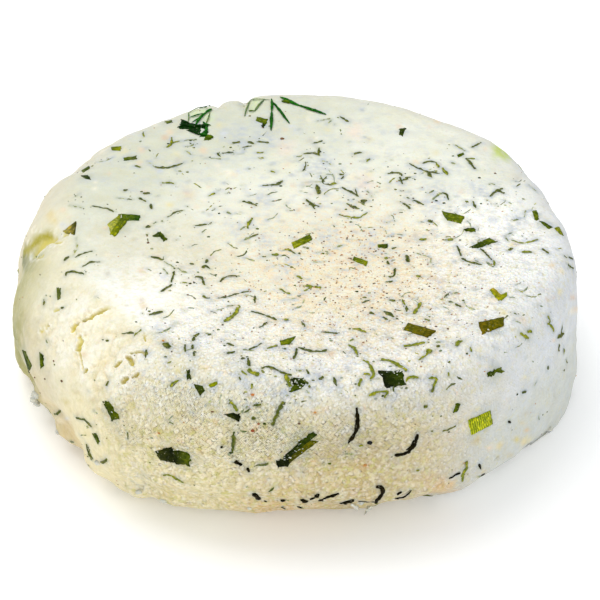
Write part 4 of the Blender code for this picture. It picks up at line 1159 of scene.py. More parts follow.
pepper = Pile("pepper_grains")
for _ in range(PEPPER_GRAINS):
    point = spot(*(chance.gauss(*pair) for pair in zip(PEPPER_MIDDLE, PEPPER_SPREAD)))
    if point is not None:
        size = PEPPER_SIZE[0] + PEPPER_SIZE[1] * chance.random() ** 2
        pepper.take(grain(point, facing(point), size * MM, chance.choice(PEPPER_TONES)))
for _ in range(STRAY_GRAINS):
    angle, share = chance.uniform(0, 360), STRAY_END * chance.random() ** 0.6
    point, out = settle(Vector(form(angle, share)[0]))
    pepper.take(grain(point, out, chance.uniform(*STRAY_SIZES) * MM, chance.choice(PEPPER_TONES)))
SPECKS = (  # tone, then each speck's place in the frame and size in mm
    ((16, 14, 10), (369.7, 442.5, 1.35)),
    ((110, 80, 50), (62, 381, 0.7)),
    ((120, 90, 60), (45, 379, 0.5), (35, 377.5, 0.5), (54, 361, 0.5)),
    ((120, 84, 56), (148, 243, 0.6), (231, 189, 0.6), (495, 173.5, 0.6), (212.5, 411.7, 0.6)),
    ((132, 96, 66), (282, 139, 1.0)),
    ((110, 80, 56), (359, 286.7, 0.6), (436, 326.7, 0.6), (448, 329, 0.6), (299, 423.7, 0.6)),
    ((206, 130, 66), (252.5, 395, 0.8)),
    ((150, 78, 44), (253, 430.5, 0.9)),
    ((170, 96, 56), (258.5, 424, 0.6)),
    ((204, 140, 72), (159, 433, 0.6)),
    ((214, 150, 70), (163, 341, 0.7)),
    ((206, 150, 84), (365, 465, 0.9), (315, 412.5, 0.6)),
)
for tone, *specks in SPECKS:
    for across, down, size in specks:
        point = spot(across, down)
        pepper.take(grain(point, facing(point), size * MM, tone, 0.9))

for _ in range(HERB_CRUMBS):
    start, reach = chance.choice(herb_stations)
    aside = Vector([chance.gauss(0, 1) for _ in range(3)]) * (CRUMB_ASIDE + reach) * MM
    point, out = settle(start + aside)
    size = HERB_CRUMB_SIZE[0] + HERB_CRUMB_SIZE[1] * chance.random() ** 2
    dill.take(grain(point, out, size * MM, chance.choice(CRUMB_TONES), 0.5))
print(pepper.count, "grains of pepper")

# %% [markdown]
# ## Crumbs at the foot
#
# Curd that was torn loose lies at the foot, and a few soft strands hang where the wall meets the counter. They have
# the finish of the round.

# %% Crumbs of curd
CURD_CRUMBS = (  # place in the frame, size in mm
    ((35.5, 395.5), 2.8), ((34.5, 400), 2.8), ((37, 404), 1.8), ((163, 501), 1.7), ((139, 492), 1.6),
    ((98, 463), 1.8), ((57, 432), 1.6), ((360, 503), 1.5), ((249, 508), 1.4), ((497, 459), 1.3), ((550, 428), 1.6),
)
FOOT_STRANDS = (
    ((351, 503), (355, 506), (358, 509)),
    ((364, 513), (367, 509.5), (371.5, 505.5)),
)
FLECKS = (  # crumbs of curd that cling to the cuts: middle in the frame, spread in pixels, how many
    ((299, 446), (2.2, 3.5), 18), ((306, 438), (5, 1.5), 8), ((288, 457), (3, 1.2), 6), ((176, 448.5), (7, 1.2), 7),
    ((159, 450), (3, 1.5), 4), ((396, 371), (5, 1.8), 14), ((383, 372), (3, 1.8), 5), ((296.5, 382), (4, 2), 14),
    ((302, 389), (3, 1.5), 5), ((484, 239.5), (5, 1), 6), ((411, 337), (5, 1), 6), ((493, 331), (6, 1), 6),
    ((112, 407), (2, 3), 3),
)
CURD_TONE, FOOT_TONE, CLOUDY = (236, 234, 222), (208, 209, 200), (176, 182, 172)
FLECK_SIZES, FLECK_LIFT = (0.2, 0.45), 0.28  # mm
GRAINS_IN_A_CRUMB, GRAIN_PARTS = 4, (0.6, 0.9)  # and each grain's size as a part of the crumb's
CRUMB_SCATTER, CRUMB_REST = 0.25, 0.4  # how far its grains lie apart and how high the lowest, as parts of its size
STRAND_WIDTH, STRAND_LIFT = 0.9 * MM, 0.2 * MM
curd_crumbs = Pile("curd_crumbs")
for (x, y), (wide, high), count in FLECKS:
    for _ in range(count):
        point = spot(chance.gauss(x, wide), chance.gauss(y, high))
        if point is not None:
            out, tone = facing(point), chance.choice((CURD_TONE, FOOT_TONE, FOOT_TONE, CLOUDY))
            size = chance.uniform(*FLECK_SIZES) * MM
            curd_crumbs.take(grain(point + out * FLECK_LIFT * MM, out, size, tone, 0.5))
for place, size in CURD_CRUMBS:
    point = beside(*place)
    for _ in range(GRAINS_IN_A_CRUMB):
        aside = Vector((chance.uniform(-1, 1), chance.uniform(-1, 1), chance.uniform(0, 1)))
        aside = aside * size * CRUMB_SCATTER * MM
        place = point + aside
        place.z = max(place.z, CRUMB_REST * size * MM)
        curd_crumbs.take(grain(place, facing(point), size * chance.uniform(*GRAIN_PARTS) * MM, FOOT_TONE, 0.9))
for corners in FOOT_STRANDS:
    stations = with_ahead([beside(*place) for place in curve_through(corners, 1.5)])
    curd_crumbs.take(thread(stations, STRAND_WIDTH, STRAND_LIFT, (*FOOT_TONE, 0)))
print(curd_crumbs.count, "crumbs of curd")

# %% [markdown]
# ## The tint of the curd
#
# Fresh curd is cream white, but no two places on it match. Painted shade makes it warmer and darker low on the wall
# and cool on the right, and the far left edge is olive with painted shade. The front shoulder gets a painted
# highlight, and the curd is bluish where herbs show through a film of whey. Yellow stains and painted shade sit in
# the cracks and creases. Painting by hand would give this too. Here every point of the skin gets a colour from named
# rules, and the material adds the fine mottling, with painted shade in hollows and painted highlights on crowns and
# pebbles.

# %% Rules for the tint
# The shoulder tint in this line is a painted highlight where the front shoulder faces the light.
TOP, PEPPERED, SHOULDER_HIGHLIGHT = (227, 229, 216), (233, 229, 208), (254, 255, 254)
# The left edge tint is olive with painted shade along the left outline.
BACK_LEFT, LEFT_WALL, OLIVE_EDGE_SHADE = (205, 208, 190), (214, 206, 178), (178, 174, 118)
# The low front tint is painted shade, warm low on the wall, and the right wall tint is painted cool shade.
FRONT_WALL, WARM_LOW_SHADE, RIGHT_WALL_SHADE = (213, 209, 193), (215, 189, 132), (209, 213, 218)
# The left turn tint is olive with painted shade low on the left outline.
LEFT_LOW, OLIVE_TURN_SHADE, COOL_TOP, CREAMY = (238, 228, 190), (164, 158, 92), (254, 255, 253), (228, 224, 202)
# The left rim tint is olive with painted shade at the left outline; the peach, right low and right foot tints are
# painted shade low on the wall.
OLIVE_RIM_SHADE, PEACH_FOOT_SHADE, RIGHT_LOW_SHADE, RIGHT_FOOT_SHADE = (158, 156, 96), (224, 186, 136), (198, 180, 140), (200, 204, 200)
LEFT_TOP, PALE_FRONT = (215, 214, 197), (230, 226, 203)
# The ochre tint is yellow stain, and in creases and cracks also painted shade.
HAZE_TINT, OCHRE_STAIN_AND_SHADE, ORANGE_TINT, PINK_TINT = (184, 191, 199), (222, 202, 138), (226, 176, 106), (244, 214, 204)

HAZE = (  # place in the frame, reach in pixels, strength
    ((240, 137), 12, 0.5), ((266, 137), 12, 0.5), ((262, 200), 9, 0.5), ((158, 230), 9, 0.6), ((195, 273), 14, 0.6),
    ((237, 227), 9, 0.5), ((265, 240), 10, 0.5), ((290, 265), 12, 0.5), ((330, 237), 12, 0.5), ((370, 245), 12, 0.5),
    ((320, 165), 12, 0.5), ((325, 185), 14, 0.5), ((350, 200), 12, 0.4), ((480, 190), 10, 0.5), ((437, 197), 14, 0.6),
    ((518, 219), 9, 0.7), ((160, 330), 9, 0.5), ((245, 380), 14, 0.5), ((285, 390), 16, 0.6), ((315, 380), 14, 0.6),
    ((390, 395), 14, 0.5), ((422, 407), 10, 0.4), ((120, 432), 10, 0.5), ((138, 480), 14, 0.5), ((395, 455), 12, 0.4),
    ((437, 343), 9, 0.5), ((300, 470), 12, 0.4), ((355, 350), 12, 0.4),
)
PALE_GREEN, SHADE, LIME = (206, 222, 176), (104, 112, 66), (188, 206, 84)
STAINS_AND_SHADE = (  # stains and painted shade: tint, then each one's place in the frame, reach in pixels and strength
    (
        # ochre stains in the pits of the crags, with painted shade in them
        OCHRE_STAIN_AND_SHADE,
        ((128, 359), 5, 0.8), ((120, 367.5), 4, 0.8), ((125, 380), 3, 0.7), ((135, 375), 3, 0.6), ((78, 343), 4, 0.8),
        ((76, 330), 4, 0.8), ((79, 354), 4, 0.7), ((84, 370), 3, 0.6), ((45, 329), 6, 0.6), ((145, 341), 4, 0.7),
        ((91, 317), 5, 0.7), ((103, 311), 5, 0.6), ((75, 321.7), 3, 0.6), ((51, 214), 5, 0.6), ((55, 221), 4, 0.6),
        ((59, 310), 3, 0.6), ((182, 413), 4, 0.6), ((227, 437.5), 3, 0.5), ((167, 491), 7, 0.6),
        ((524, 441.7), 4, 0.6), ((500, 445), 4, 0.6), ((477.5, 439), 4, 0.6), ((425, 460), 4, 0.6),
        ((411, 428), 5, 0.7), ((409, 448), 5, 0.6), ((332, 481), 5, 0.6),
    ),
    (
        ORANGE_TINT,
        ((252.5, 395), 3, 0.6), ((256, 428), 4, 0.5), ((159, 433), 3, 0.6), ((163, 341), 3, 0.6),
        ((365, 465), 4, 0.5), ((315, 412.5), 3, 0.5), ((207.5, 366.7), 3, 0.4), ((440, 488), 14, 0.5),
        ((188, 194.5), 7, 0.25),
    ),
    # painted shade along the left outline, olive in part
    (SHADE, ((21, 258), 9, 1.0), ((23, 250), 7, 0.6), ((22, 268), 5, 0.4), ((14, 346), 6, 0.6)),
    (OLIVE_RIM_SHADE, ((12, 338), 10, 1.0)),
    (SHADE, ((11, 334), 5, 0.5)),
    (OLIVE_RIM_SHADE, ((16, 324), 9, 0.8), ((20, 311), 7, 0.4), ((18, 354), 8, 0.7)),
    (PALE_GREEN, ((203, 111), 5, 1.0), ((195, 114), 6, 1.0), ((208, 119), 5, 0.9)),
    (LIME, ((499, 150), 6, 1.0), ((507, 154.5), 6, 1.0)),
    (PALE_GREEN, ((256, 102), 4, 0.9), ((252, 107), 5, 0.9)),
    (PINK_TINT, ((355, 132), 8, 0.4), ((365, 183), 9, 0.4), ((286, 148), 8, 0.4)),
)
FAR_STAINS, FAR_REACHES, FAR_STRENGTHS = 40, (0.8, 2.0), (0.3, 0.7)  # the reaches in mm
TOP_SMUDGES = ((226, 216, 164), (230, 206, 176), (196, 194, 184), (206, 212, 222), (240, 234, 214))
DUSTY_SMUDGES = ((232, 202, 150), (214, 182, 150), (196, 182, 168), (240, 226, 190), (206, 196, 190))
LOW_SMUDGES = ((206, 192, 112), (222, 186, 132), (198, 180, 128), (240, 228, 200), (212, 196, 150))
SMUDGES = (  # place in the frame, spread in pixels, how many, tints
    ((300, 170), (120, 32), 70, TOP_SMUDGES),
    ((360, 265), (95, 45), 120, DUSTY_SMUDGES),
    ((290, 365), (125, 28), 80, TOP_SMUDGES),
    ((300, 455), (150, 30), 180, LOW_SMUDGES),
    ((120, 140), (55, 22), 30, TOP_SMUDGES),
    ((110, 260), (50, 40), 30, TOP_SMUDGES),
    ((90, 390), (45, 35), 40, LOW_SMUDGES),
    ((510, 330), (40, 60), 30, TOP_SMUDGES),
)
STAINED = (156, 164, 120)  # curd right beside a herb
# The crease tint is yellow stain with painted shade on the floors of the crags.
CREASE_STAIN_AND_SHADE, LIP_TINT, STREAK_TINT = (208, 194, 86), (252, 251, 243), (166, 156, 24)
STREAK, STREAK_REACH = ((28, 251), (34, 244), (40, 237), (51, 235)), 5.0
DUST_LEFT, DUST_RIGHT, DUST_DOWN = 115, 72, 56  # reach of the dust in pixels, which ends sooner on the right
CREVICES = 1.5  # how strongly the painted crease shade keeps to the deepest creases
SMUDGE_END, SMUDGE_REACHES, SMUDGE_STRENGTHS = 12, (1.6, 4.0), (0.4, 0.9)  # pixels, pixels, shares
HAZE_REACH, TOUCH_REACH = (0.75, 0.45), (0.2, 0.35)  # mm, and how much more for each step of a herb's width
PALE_ANGLES, PALE_SHARES = ((206, 214), (238, 248)), ((0.32, 0.35), (0.42, 0.46))  # where crumbling shows
CREAMY_ANGLES = (150, 175), (226, 246)  # where the wall is smooth and creamy


def blend_to(colours, tint, share):
    """Moves colours towards a tint by a share for each point."""
    return colours + (np.array(pigment(*tint)) - colours) * np.clip(share, 0, 1)[:, None]


sight = skin - np.array(EYE)
depth = sight @ np.array(VIEW)
across, down = in_picture(skin)
seen = ramp(0.0, 0.1, -np.einsum("ij,ij->i", sight, outward) / depth)
print(f"the camera faces {seen.mean():.0%} of the skin")


# %% The tint of each point
def toward(crest, from_wave, to_wave):
    """1 on the side of the round that faces this angle, and 0 away from it."""
    return ramp(from_wave, to_wave, wave(angles, crest, 1))


wall = ramp(0.30, 0.42, shares)
low = ramp(0.40, 0.58, shares + 0.02 * grains(skin, 9 * MM))
left, right, front = toward(195, 0.35, 0.9), toward(350, 0.45, 0.95), toward(275, 0.2, 0.8)
tint = np.tile(pigment(*TOP), (len(skin), 1))
wide = np.where(across < PEPPER_MIDDLE[0], DUST_LEFT, DUST_RIGHT)
dust = ((across - PEPPER_MIDDLE[0]) / wide) ** 2 + ((down - PEPPER_MIDDLE[1]) / DUST_DOWN) ** 2
dust = np.exp(-dust / 2) * seen
turned = ramp(172, 190, angles + 4 * grains(skin, 12 * MM))  # the olive and painted shade of the left edge fade out behind
turned *= 1 - 0.5 * ramp(0.56, 0.64, shares)
# Where the painted highlight of the front shoulder lies; it ends sooner at the front right.
ends_sooner = shares + 0.035 * toward(292, 0.8, 1.0)
bright = ramp(0.13, 0.25, shares) - ramp(0.37, 0.46, ends_sooner)
for colour, share in (  # each over the ones before
    (BACK_LEFT, 0.9 * toward(132, 0.1, 0.95) * (ramp(0.1, 0.25, shares) - 0.8 * ramp(0.36, 0.42, shares))),
    (COOL_TOP, toward(320, 0.35, 0.9) * ramp(0.12, 0.28, shares)),
    (LEFT_TOP, 0.9 * toward(208, 0.8, 0.97) * band((0.08, 0.16), (0.26, 0.31), shares)),
    (FRONT_WALL, wall),
    # painted highlight on the front shoulder
    (SHOULDER_HIGHLIGHT, 0.95 * bright * toward(288, -0.1, 0.5)),
    (LEFT_WALL, wall * left),
    # painted shade, warm, low on the front wall and deepest at its foot
    (WARM_LOW_SHADE, low * (0.35 + 0.65 * front)),
    (PEACH_FOOT_SHADE, 0.7 * ramp(0.54, 0.60, shares) * toward(285, 0.6, 0.9)),
    (PALE_FRONT, wall * toward(243, 0.80, 0.93) * (1 - low)),
    (LEFT_LOW, 0.95 * ramp(0.37, 0.50, shares) * toward(241, 0.90, 0.98)),
    # painted shade low on the right, on the right wall and at its foot
    (RIGHT_LOW_SHADE, 0.9 * ramp(0.43, 0.50, shares) * toward(300, 0.85, 0.97)),
    (RIGHT_WALL_SHADE, wall * right),
    (RIGHT_FOOT_SHADE, ramp(0.44, 0.52, shares) * right),
    (CREAMY, band((0.30, 0.34), (0.39, 0.44), shares) * toward(212, 0.6, 0.9)),
    # olive with painted shade along the left outline
    (OLIVE_EDGE_SHADE, 0.7 * turned * wall * toward(186, 0.95, 1.0)),
    (OLIVE_TURN_SHADE, 0.85 * turned * band((0.44, 0.50), (0.57, 0.61), shares) * toward(178, 0.90, 0.99)),
    (OLIVE_RIM_SHADE, 0.7 * turned * band((0.34, 0.40), (0.56, 0.60), shares) * toward(182, 0.975, 1.0)),
    (PEPPERED, 0.85 * dust),
):
    tint = blend_to(tint, colour, share)


def fading(far, reach, among=slice(None)):
    """1 in the middle of a blot and 0 past its ragged edge, for points this far away."""
    return np.exp(-((far / (reach * ragged[among])) ** 2))


def blot(place, reach):
    """A blot about a place in the frame."""
    return fading(np.hypot(across - place[0], down - place[1]), reach)


ragged = 1 + 0.6 * grains(skin, 2.2 * MM, 5.0)
herb_tree = tree_of([point for point, _ in herb_stations])
near_herb, touching = np.zeros((2, len(skin)))
for number, place in enumerate(skin):
    _, found, far = herb_tree.find(place)
    width = herb_stations[found][1]
    for values, (least, more) in ((near_herb, HAZE_REACH), (touching, TOUCH_REACH)):
        values[number] = math.exp(-((far / ((least + more * width) * MM)) ** 2))
patchy = 0.5 + 0.5 * grains(skin, 4 * MM, 3.0)
haze = (0.25 + 0.75 * patchy) * near_herb
for place, reach, strength in HAZE:
    haze = np.maximum(haze, seen * (0.2 + strength) * blot(place, reach))
print("haze round the herbs reaches", f"{(near_herb > 0.3).mean():.0%} of the skin")

# %% [markdown]
# The stains and painted shade follow, and then the skin's own texture: how plainly the cloth's weave shows, how
# grainy the curd is, and how much dust of pepper lies on it. Each goes to the mesh as a colour attribute for the
# material to read.

# %% Stains, painted shade, and the attributes
in_sight = ramp(0, 0.02, seen)
for stain_and_shade, *blots in STAINS_AND_SHADE:
    for place, reach, strength in blots:
        tint = blend_to(tint, stain_and_shade, in_sight * strength * blot(place, reach))
for _ in range(FAR_STAINS):
    place = np.array(Vector(form(*far_place())[0]))
    reach, strength = chance.uniform(*FAR_REACHES) * MM, chance.uniform(*FAR_STRENGTHS)
    share = strength * fading(np.linalg.norm(skin - place, axis=1), reach)
    tint = blend_to(tint, chance.choice((OCHRE_STAIN_AND_SHADE, OCHRE_STAIN_AND_SHADE, ORANGE_TINT)), share)
for (x, y), (wide, high), count, tints in SMUDGES:
    for _ in range(count):
        place, tinge = (chance.gauss(x, wide), chance.gauss(y, high)), chance.choice(tints)
        reach, strength = chance.uniform(*SMUDGE_REACHES), chance.uniform(*SMUDGE_STRENGTHS)
        aside, below = across - place[0], down - place[1]
        near = np.flatnonzero((abs(aside) < SMUDGE_END) & (abs(below) < SMUDGE_END) & (seen > 0))
        share = strength * fading(np.hypot(aside[near], below[near] * 1.3), reach, near)
        tint[near] = blend_to(tint[near], tinge, share)
_, floor, lip = crags(smooth, angles)
crumbly = band(*PALE_ANGLES, angles) * band(*PALE_SHARES, shares)
between = (1 - lumps(smooth, LUMP_SIZE)) * crumbling(smooth)
run = np.array(curve_through(STREAK, 1.0))
streak = np.hypot(across[:, None] - run[:, 0], down[:, None] - run[:, 1]).min(axis=1)
for colour, share in (
    (STAINED, 0.65 * touching),
    (LIP_TINT, 0.5 * crumbly),
    # painted shade, ochre tinted, in the creases between curd lumps
    (OCHRE_STAIN_AND_SHADE, 0.5 * crumbly * np.maximum(0, between) ** CREVICES),
    (LIP_TINT, 0.6 * lip * in_sight),
    # yellow stain with painted shade on the floors of the crags
    (CREASE_STAIN_AND_SHADE, 0.95 * floor * in_sight),
    (STREAK_TINT, in_sight * fading(streak, STREAK_REACH)),
    # ochre stain with painted shade, deeper in the cracks
    (OCHRE_STAIN_AND_SHADE, 0.15 * ramp(0.3 * MM, 1.5 * MM, crack_depths(smooth))),
):
    tint = blend_to(tint, colour, share)
tint *= (1 + 0.03 * grains(skin, 3 * MM, 8.0))[:, None]

creamy = band(*CREAMY_ANGLES, angles)
woven = ramp(0.35, 0.41, shares) * (1 - 0.85 * creamy) * (0.6 + 0.5 * grains(skin, 12 * MM, 4.0))
woven *= (1 - 0.8 * toward(120, 0.2, 0.8)) * (1 - 0.7 * ramp(0.45, 0.51, shares)) * (1 - 0.85 * toward(338, 0.5, 0.9))
grainy = 0.08 + 0.92 * ramp(0.12, 0.32, shares) * toward(278, -0.4, 0.6) * (1 - 0.85 * creamy)
grainy = grainy + 0.2 * toward(285, -0.5, 0.6) * (1 - ramp(0.12, 0.32, shares))
grainy = grainy * (1 - 0.7 * right * wall)
clouded = 1 - 0.85 * np.maximum(creamy * ramp(0.05, 0.2, shares), 0.9 * ramp(0.37, 0.44, shares) * (1 - right))
haze = haze * (0.3 + 0.56 * clouded)


def keep_on_mesh(mesh, name, values):
    """Keeps four numbers for each point of a mesh."""
    layer = mesh.attributes.new(name, "FLOAT_COLOR", "POINT")
    layer.data.foreach_set("color", np.ascontiguousarray(values, dtype=np.float32).ravel())


keep_on_mesh(round_mesh, "tone", np.column_stack([tint, haze]))
keep_on_mesh(round_mesh, "texture", np.column_stack([woven, grainy, dust, clouded]))
print("tint runs from", tint.min(axis=0).round(2), "to", tint.max(axis=0).round(2))

# %% [markdown]
# ## Finishes
#
# A finish is a small graph of nodes. A short class keeps each line of the graph short, and everything that changes
# over the surface comes from object coordinates, so it stays where it is when the camera moves.


# %% A finish and its short calls
def paint(red, green, blue):
    """A pigment as a node's colour."""
    return (*pigment(red, green, blue), 1)


class Finish:
    """A node material that starts from its shader."""

    def __init__(self, name, roughness, specular):
        self.material = bpy.data.materials.new(name)
        self.material.use_nodes = True
        self.tree = self.material.node_tree
        self.shader = self.tree.nodes["Principled BSDF"]
        self.shader.inputs["Roughness"].default_value = roughness
        self.shader.inputs["Specular IOR Level"].default_value = specular
        self.place = self.node("TexCoord").outputs["Object"]

    def node(self, kind, inputs=(), **settings):
        made = self.tree.nodes.new("ShaderNode" + kind)
        for name, value in settings.items():
            setattr(made, name, value)
        for name, value in dict(inputs).items():
            self.put(made.inputs[name], value)
        return made

    def look(self, name, value):
        self.put(self.shader.inputs[name], value)

    def put(self, socket, value):
        if isinstance(value, bpy.types.NodeSocket):
            self.tree.links.new(value, socket)
        else:
            socket.default_value = value

    def math(self, operation, *values):
        made = self.node("Math", operation=operation)
        for socket, value in zip(made.inputs, values):
            self.put(socket, value)
        return made.outputs[0]

    def times(self, first, second):
        return self.math("MULTIPLY", first, second)

    def noise(self, size, detail=2.0, output=0):
        """Cloudy noise from 0 to 1 whose grains are about this size in millimetres."""
        settings = {"Scale": 1 / (size * MM), "Detail": detail, "Vector": self.place}
        return self.node("TexNoise", settings).outputs[output]

    def cells(self, size, place=None):
        """How far each point is from the middle of its cell, for cells of about this size in millimetres."""
        settings = {"Scale": 1 / (size * MM), "Vector": place or self.place}
        return self.node("TexVoronoi", settings).outputs["Distance"]

    def fit(self, value, low, high, new_low, new_high):
        """Maps a range onto another, held at its ends."""
        settings = {0: value, 1: low, 2: high, 3: new_low, 4: new_high}
        return self.node("MapRange", settings).outputs[0]

    def mix(self, share, first, second, blend="MIX"):
        made = self.node("Mix", data_type="RGBA", blend_type=blend)
        for number, value in ((0, share), (6, first), (7, second)):
            self.put(made.inputs[number], value)
        return made.outputs[2]

    def darker(self, colour, tint):
        """The colour as it looks through a tint."""
        return self.mix(1.0, colour, tint, "MULTIPLY")

    def stored(self, name):
        """The colour kept on the mesh under this name, and its parts."""
        colour = self.node("VertexColor", layer_name=name)
        parts = self.node("SeparateColor", {0: colour.outputs["Color"]})
        return colour.outputs["Color"], *parts.outputs, colour.outputs["Alpha"]

    def bump(self, height, rise, below=None):
        """A bump whose full height is this rise in millimetres, on top of another bump."""
        made = self.node("Bump", {"Strength": 1.0, "Distance": rise * MM, "Height": height})
        if below is not None:
            self.put(made.inputs["Normal"], below)
        return made.outputs[0]


print("a finish has these calls:", [name for name in vars(Finish) if name[0] != "_"])

# %% [markdown]
# The curd scatters light under its skin, so it gets some subsurface scattering, about a millimetre deep. The weave
# of the cloth is two families of slanting ridges round the wall. Their number round the turn is whole, so there is no
# seam. Small granules and a fine tooth lie over it. The colour also gets painted shade in hollows, in the weave's
# troughs and round pebbles, and painted highlights on pebbles and the crowns of granules.

# %% Finish of the curd
WEAVE_PITCH, WEAVE_TURNS = 0.78 * MM, 600
CURD_DEPTH, CURD_SCATTER, CURD_RADIUS = 0.7 * MM, 0.3, (1.0, 0.8, 0.55)
GRANULE, PEBBLE, DUST_BIT = 0.95, 1.45, 0.7  # mm
PEBBLE_BEND = 0.0006  # share of the noise that pushes the pebbles out of shape
HOLLOW_SHADE = (0.93, 0.89, 0.76, 1)  # painted shade with a yellow tinge, for hollows and the weave's troughs

curd = Finish("fresh_curd", roughness=0.55, specular=0.3)
colour, *_, haze_share = curd.stored("tone")
_, weave_share, grain_share, dust_share, cloud_share = curd.stored("texture")

parts = curd.node("SeparateXYZ", {0: curd.place}).outputs
turn = curd.times(curd.math("ARCTAN2", parts[1], parts[0]), WEAVE_TURNS)
climb = curd.times(parts[2], 2 * math.pi / WEAVE_PITCH)
climb = curd.math("ADD", climb, curd.fit(curd.noise(3), 0.0, 1.0, -2.0, 2.0))
ridges = [curd.math("SINE", curd.math(way, turn, climb)) for way in ("ADD", "SUBTRACT")]
weave = curd.times(curd.math("ADD", *ridges), weave_share)
near_granule = curd.cells(GRANULE)
granule = curd.times(curd.fit(near_granule, 0.15, 0.75, 1.0, 0.0), grain_share)
cloud = curd.noise(0.75, 3.0)

mottle = curd.fit(curd.noise(5, 4.0), 0.3, 0.7, 0.95, 1.03)
fine_mottle = curd.fit(curd.noise(0.5, 2.0), 0.3, 0.7, curd.fit(grain_share, 0.1, 1.0, 0.99, 0.955), 1.03)
shade = curd.times(mottle, fine_mottle)
colour = curd.darker(colour, curd.node("CombineColor", {n: shade for n in range(3)}).outputs[0])
warm = curd.fit(curd.noise(8, 3.0), 0.45, 0.7, 0.0, 0.4)
colour = curd.mix(warm, colour, curd.darker(colour, (0.99, 0.95, 0.80, 1)))
clear = curd.times(curd.fit(cloud_share, 0.2, 0.7, 1.0, 0.0), grain_share)
bent = curd.mix(PEBBLE_BEND, curd.place, curd.noise(1.6, 1.0, "Color"), "ADD")
pebble = curd.fit(curd.cells(PEBBLE, bent), 0.1, 0.7, 1.0, 0.0)
# painted highlight on each pebble, and painted shade round its edge
lit = curd.times(curd.fit(pebble, 0.35, 0.9, 0.0, 0.6), clear)
colour = curd.mix(lit, colour, paint(242, 234, 211))
pebble_edge_shade = curd.times(curd.fit(pebble, 0.4, 0.0, 0.0, 0.42), clear)
colour = curd.mix(pebble_edge_shade, colour, paint(190, 176, 112))
crown = curd.math("ADD", curd.times(granule, 0.5), cloud)
# painted shade in the hollows between crowns
hollow_shade_share = curd.times(curd.fit(crown, 0.42, 0.80, 1.0, 0.0), curd.fit(grain_share, 0.1, 1.0, 0.08, 0.75))
colour = curd.mix(hollow_shade_share, colour, curd.darker(colour, HOLLOW_SHADE))
spotted = curd.fit(grain_share, 0.0, 1.0, 0.22, 1.0)
spot_kinds = (  # size in mm, where the noise starts to show, strength, where, tint
    (1.3, 0.57, 0.6, spotted, (208, 200, 142)),
    (1.7, 0.64, 0.45, spotted, (224, 198, 180)),
    (2.1, 0.58, 0.6, curd.times(spotted, cloud_share), (208, 214, 222)),
    (1.6, 0.55, 0.7, clear, (200, 194, 112)),
    (2.6, 0.55, 0.6, clear, (224, 214, 178)),
)
for size, low, share, where, spot_tint in spot_kinds:
    spots = curd.fit(curd.noise(size, 2.0), low, low + 0.1, 0.0, share)
    colour = curd.mix(curd.times(spots, where), colour, paint(*spot_tint))
# painted highlight on the crowns of the granules
crown_highlight = curd.times(curd.fit(crown, 0.75, 1.05, 0.0, 0.6), curd.fit(cloud_share, 0.2, 1.0, 0.3, 1.0))
colour = curd.mix(crown_highlight, colour, paint(254, 253, 247))
# painted shade in the troughs of the weave
colour = curd.mix(curd.fit(weave, 0.2, -1.2, 0.0, 0.3), colour, curd.darker(colour, HOLLOW_SHADE))
haze = curd.times(haze_share, curd.fit(curd.noise(1.5, 4.0), 0.34, 0.62, 0.15, 1.35))
thin_haze = curd.times(curd.fit(curd.noise(3.2, 2.5), 0.54, 0.74, 0.0, 0.36), cloud_share)
haze = curd.math("ADD", haze, thin_haze)
colour = curd.mix(curd.fit(haze, 0.0, 1.0, 0.0, 1.0), colour, paint(*HAZE_TINT))
warm_dust = curd.fit(curd.noise(1.2, 3.0), 0.45, 0.66, 0.0, 0.75)
warm_dust = curd.times(warm_dust, curd.fit(dust_share, 0.1, 0.8, 0.0, 1.0))
colour = curd.mix(warm_dust, colour, curd.mix(curd.noise(3), paint(238, 218, 160), paint(234, 208, 180)))
near_bit = curd.cells(DUST_BIT)
bit_size = curd.times(curd.noise(1.9), curd.fit(dust_share, 0.0, 1.0, 0.2, 0.6))
bits = curd.fit(curd.math("SUBTRACT", bit_size, near_bit), 0.0, 0.12, 0.0, 0.6)
bits = curd.times(bits, curd.fit(dust_share, 0.05, 0.6, 0.0, 1.0))
colour = curd.mix(bits, colour, curd.mix(curd.noise(0.8), paint(236, 190, 136), paint(178, 138, 104)))
curd.look("Base Color", colour)
curd.look("Roughness", curd.fit(curd.noise(3), 0.3, 0.7, 0.44, 0.66))
curd.look("Subsurface Weight", CURD_SCATTER)
curd.look("Subsurface Scale", CURD_DEPTH)
curd.look("Subsurface Radius", CURD_RADIUS)

skin_bump = curd.bump(curd.times(cloud, curd.fit(grain_share, 0.1, 1.0, 0.2, 1.0)), 0.42)
skin_bump = curd.bump(granule, 0.34, skin_bump)
skin_bump = curd.bump(curd.times(pebble, clear), 0.30, skin_bump)
skin_bump = curd.bump(weave, 0.10, skin_bump)
tooth = curd.times(curd.noise(0.4, 2.0), curd.fit(grain_share, 0.1, 1.0, 0.2, 0.9))
skin_bump = curd.bump(tooth, 0.16, skin_bump)
curd.look("Normal", skin_bump)
print("nodes of the curd:", len(curd.tree.nodes))

# %% [markdown]
# The herbs share one finish. Their tone comes from the mesh, and ribs run along each cut from its own millimetre map.
# Pepper is dull and rough.

# %% Finishes of herb and pepper
RIB_PITCH = 0.68  # mm

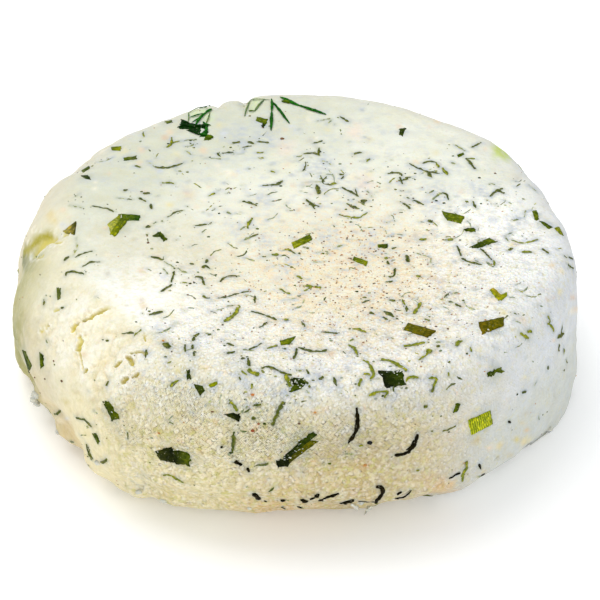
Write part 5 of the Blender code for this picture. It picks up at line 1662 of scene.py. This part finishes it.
herb = Finish("chopped_herb", roughness=0.6, specular=0.03)
colour, *_, rib_share = herb.stored("tone")
along = herb.node("UVMap", uv_map="along_veins").outputs[0]
wobble = herb.times(herb.noise(2.5, 0.0), 1.6)
across_ribs = herb.node("SeparateXYZ", {0: along}).outputs[1]
ribs = herb.math("SINE", herb.math("ADD", herb.times(across_ribs, 2 * math.pi / RIB_PITCH), wobble))
rib_dark = herb.times(herb.fit(ribs, -0.9, 0.5, 1.0, 0.0), rib_share)
colour = herb.mix(herb.fit(rib_dark, 0.0, 1.0, 0.0, 0.85), colour, paint(34, 44, 14))
blotch = herb.fit(herb.noise(0.9, 3.0), 0.35, 0.65, 0.0, 0.8)
colour = herb.mix(blotch, colour, herb.darker(colour, (0.4, 0.5, 0.35, 1)))
sunlit = herb.fit(herb.noise(1.1, 2.0), 0.46, 0.62, 0.0, 0.8)
colour = herb.mix(sunlit, colour, herb.darker(colour, (2.0, 1.7, 0.9, 1)))
colour = herb.mix(herb.fit(herb.noise(0.5, 2.0), 0.64, 0.72, 0.0, 0.25), colour, paint(214, 210, 180))
herb.look("Base Color", colour)
herb.look("Roughness", herb.fit(herb.noise(0.9), 0.3, 0.7, 0.4, 0.65))
herb_bump = herb.bump(herb.times(ribs, rib_share), 0.05)
herb.look("Normal", herb.bump(herb.noise(0.4, 2.0), 0.06, herb_bump))

dry = Finish("ground_pepper", roughness=0.75, specular=0.3)
colour, *_ = dry.stored("tone")
shade = dry.fit(dry.noise(0.2), 0.3, 0.7, 0.0, 0.6)
dry.look("Base Color", dry.mix(shade, colour, dry.darker(colour, (0.5, 0.45, 0.4, 1))))
dry.look("Normal", dry.bump(dry.noise(0.15), 0.05))

print("nodes of the herbs:", len(herb.tree.nodes))

# %% [markdown]
# ## Putting it together
#
# Each heap becomes one object that rides on the cheese. The fine round and the fine sprigs stand in for the packed
# ones.

# %% The closing steps
round_mesh.materials.append(curd.material)
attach(cheese, "root")
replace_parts(cheese, "cheese")
dill.settle_down(herb.material)
onion.settle_down(herb.material)
for name, sprig in sprigs:
    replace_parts(sprig.settle_down(herb.material), name)
pepper.settle_down(dry.material)
curd_crumbs.settle_down(curd.material, "curd")
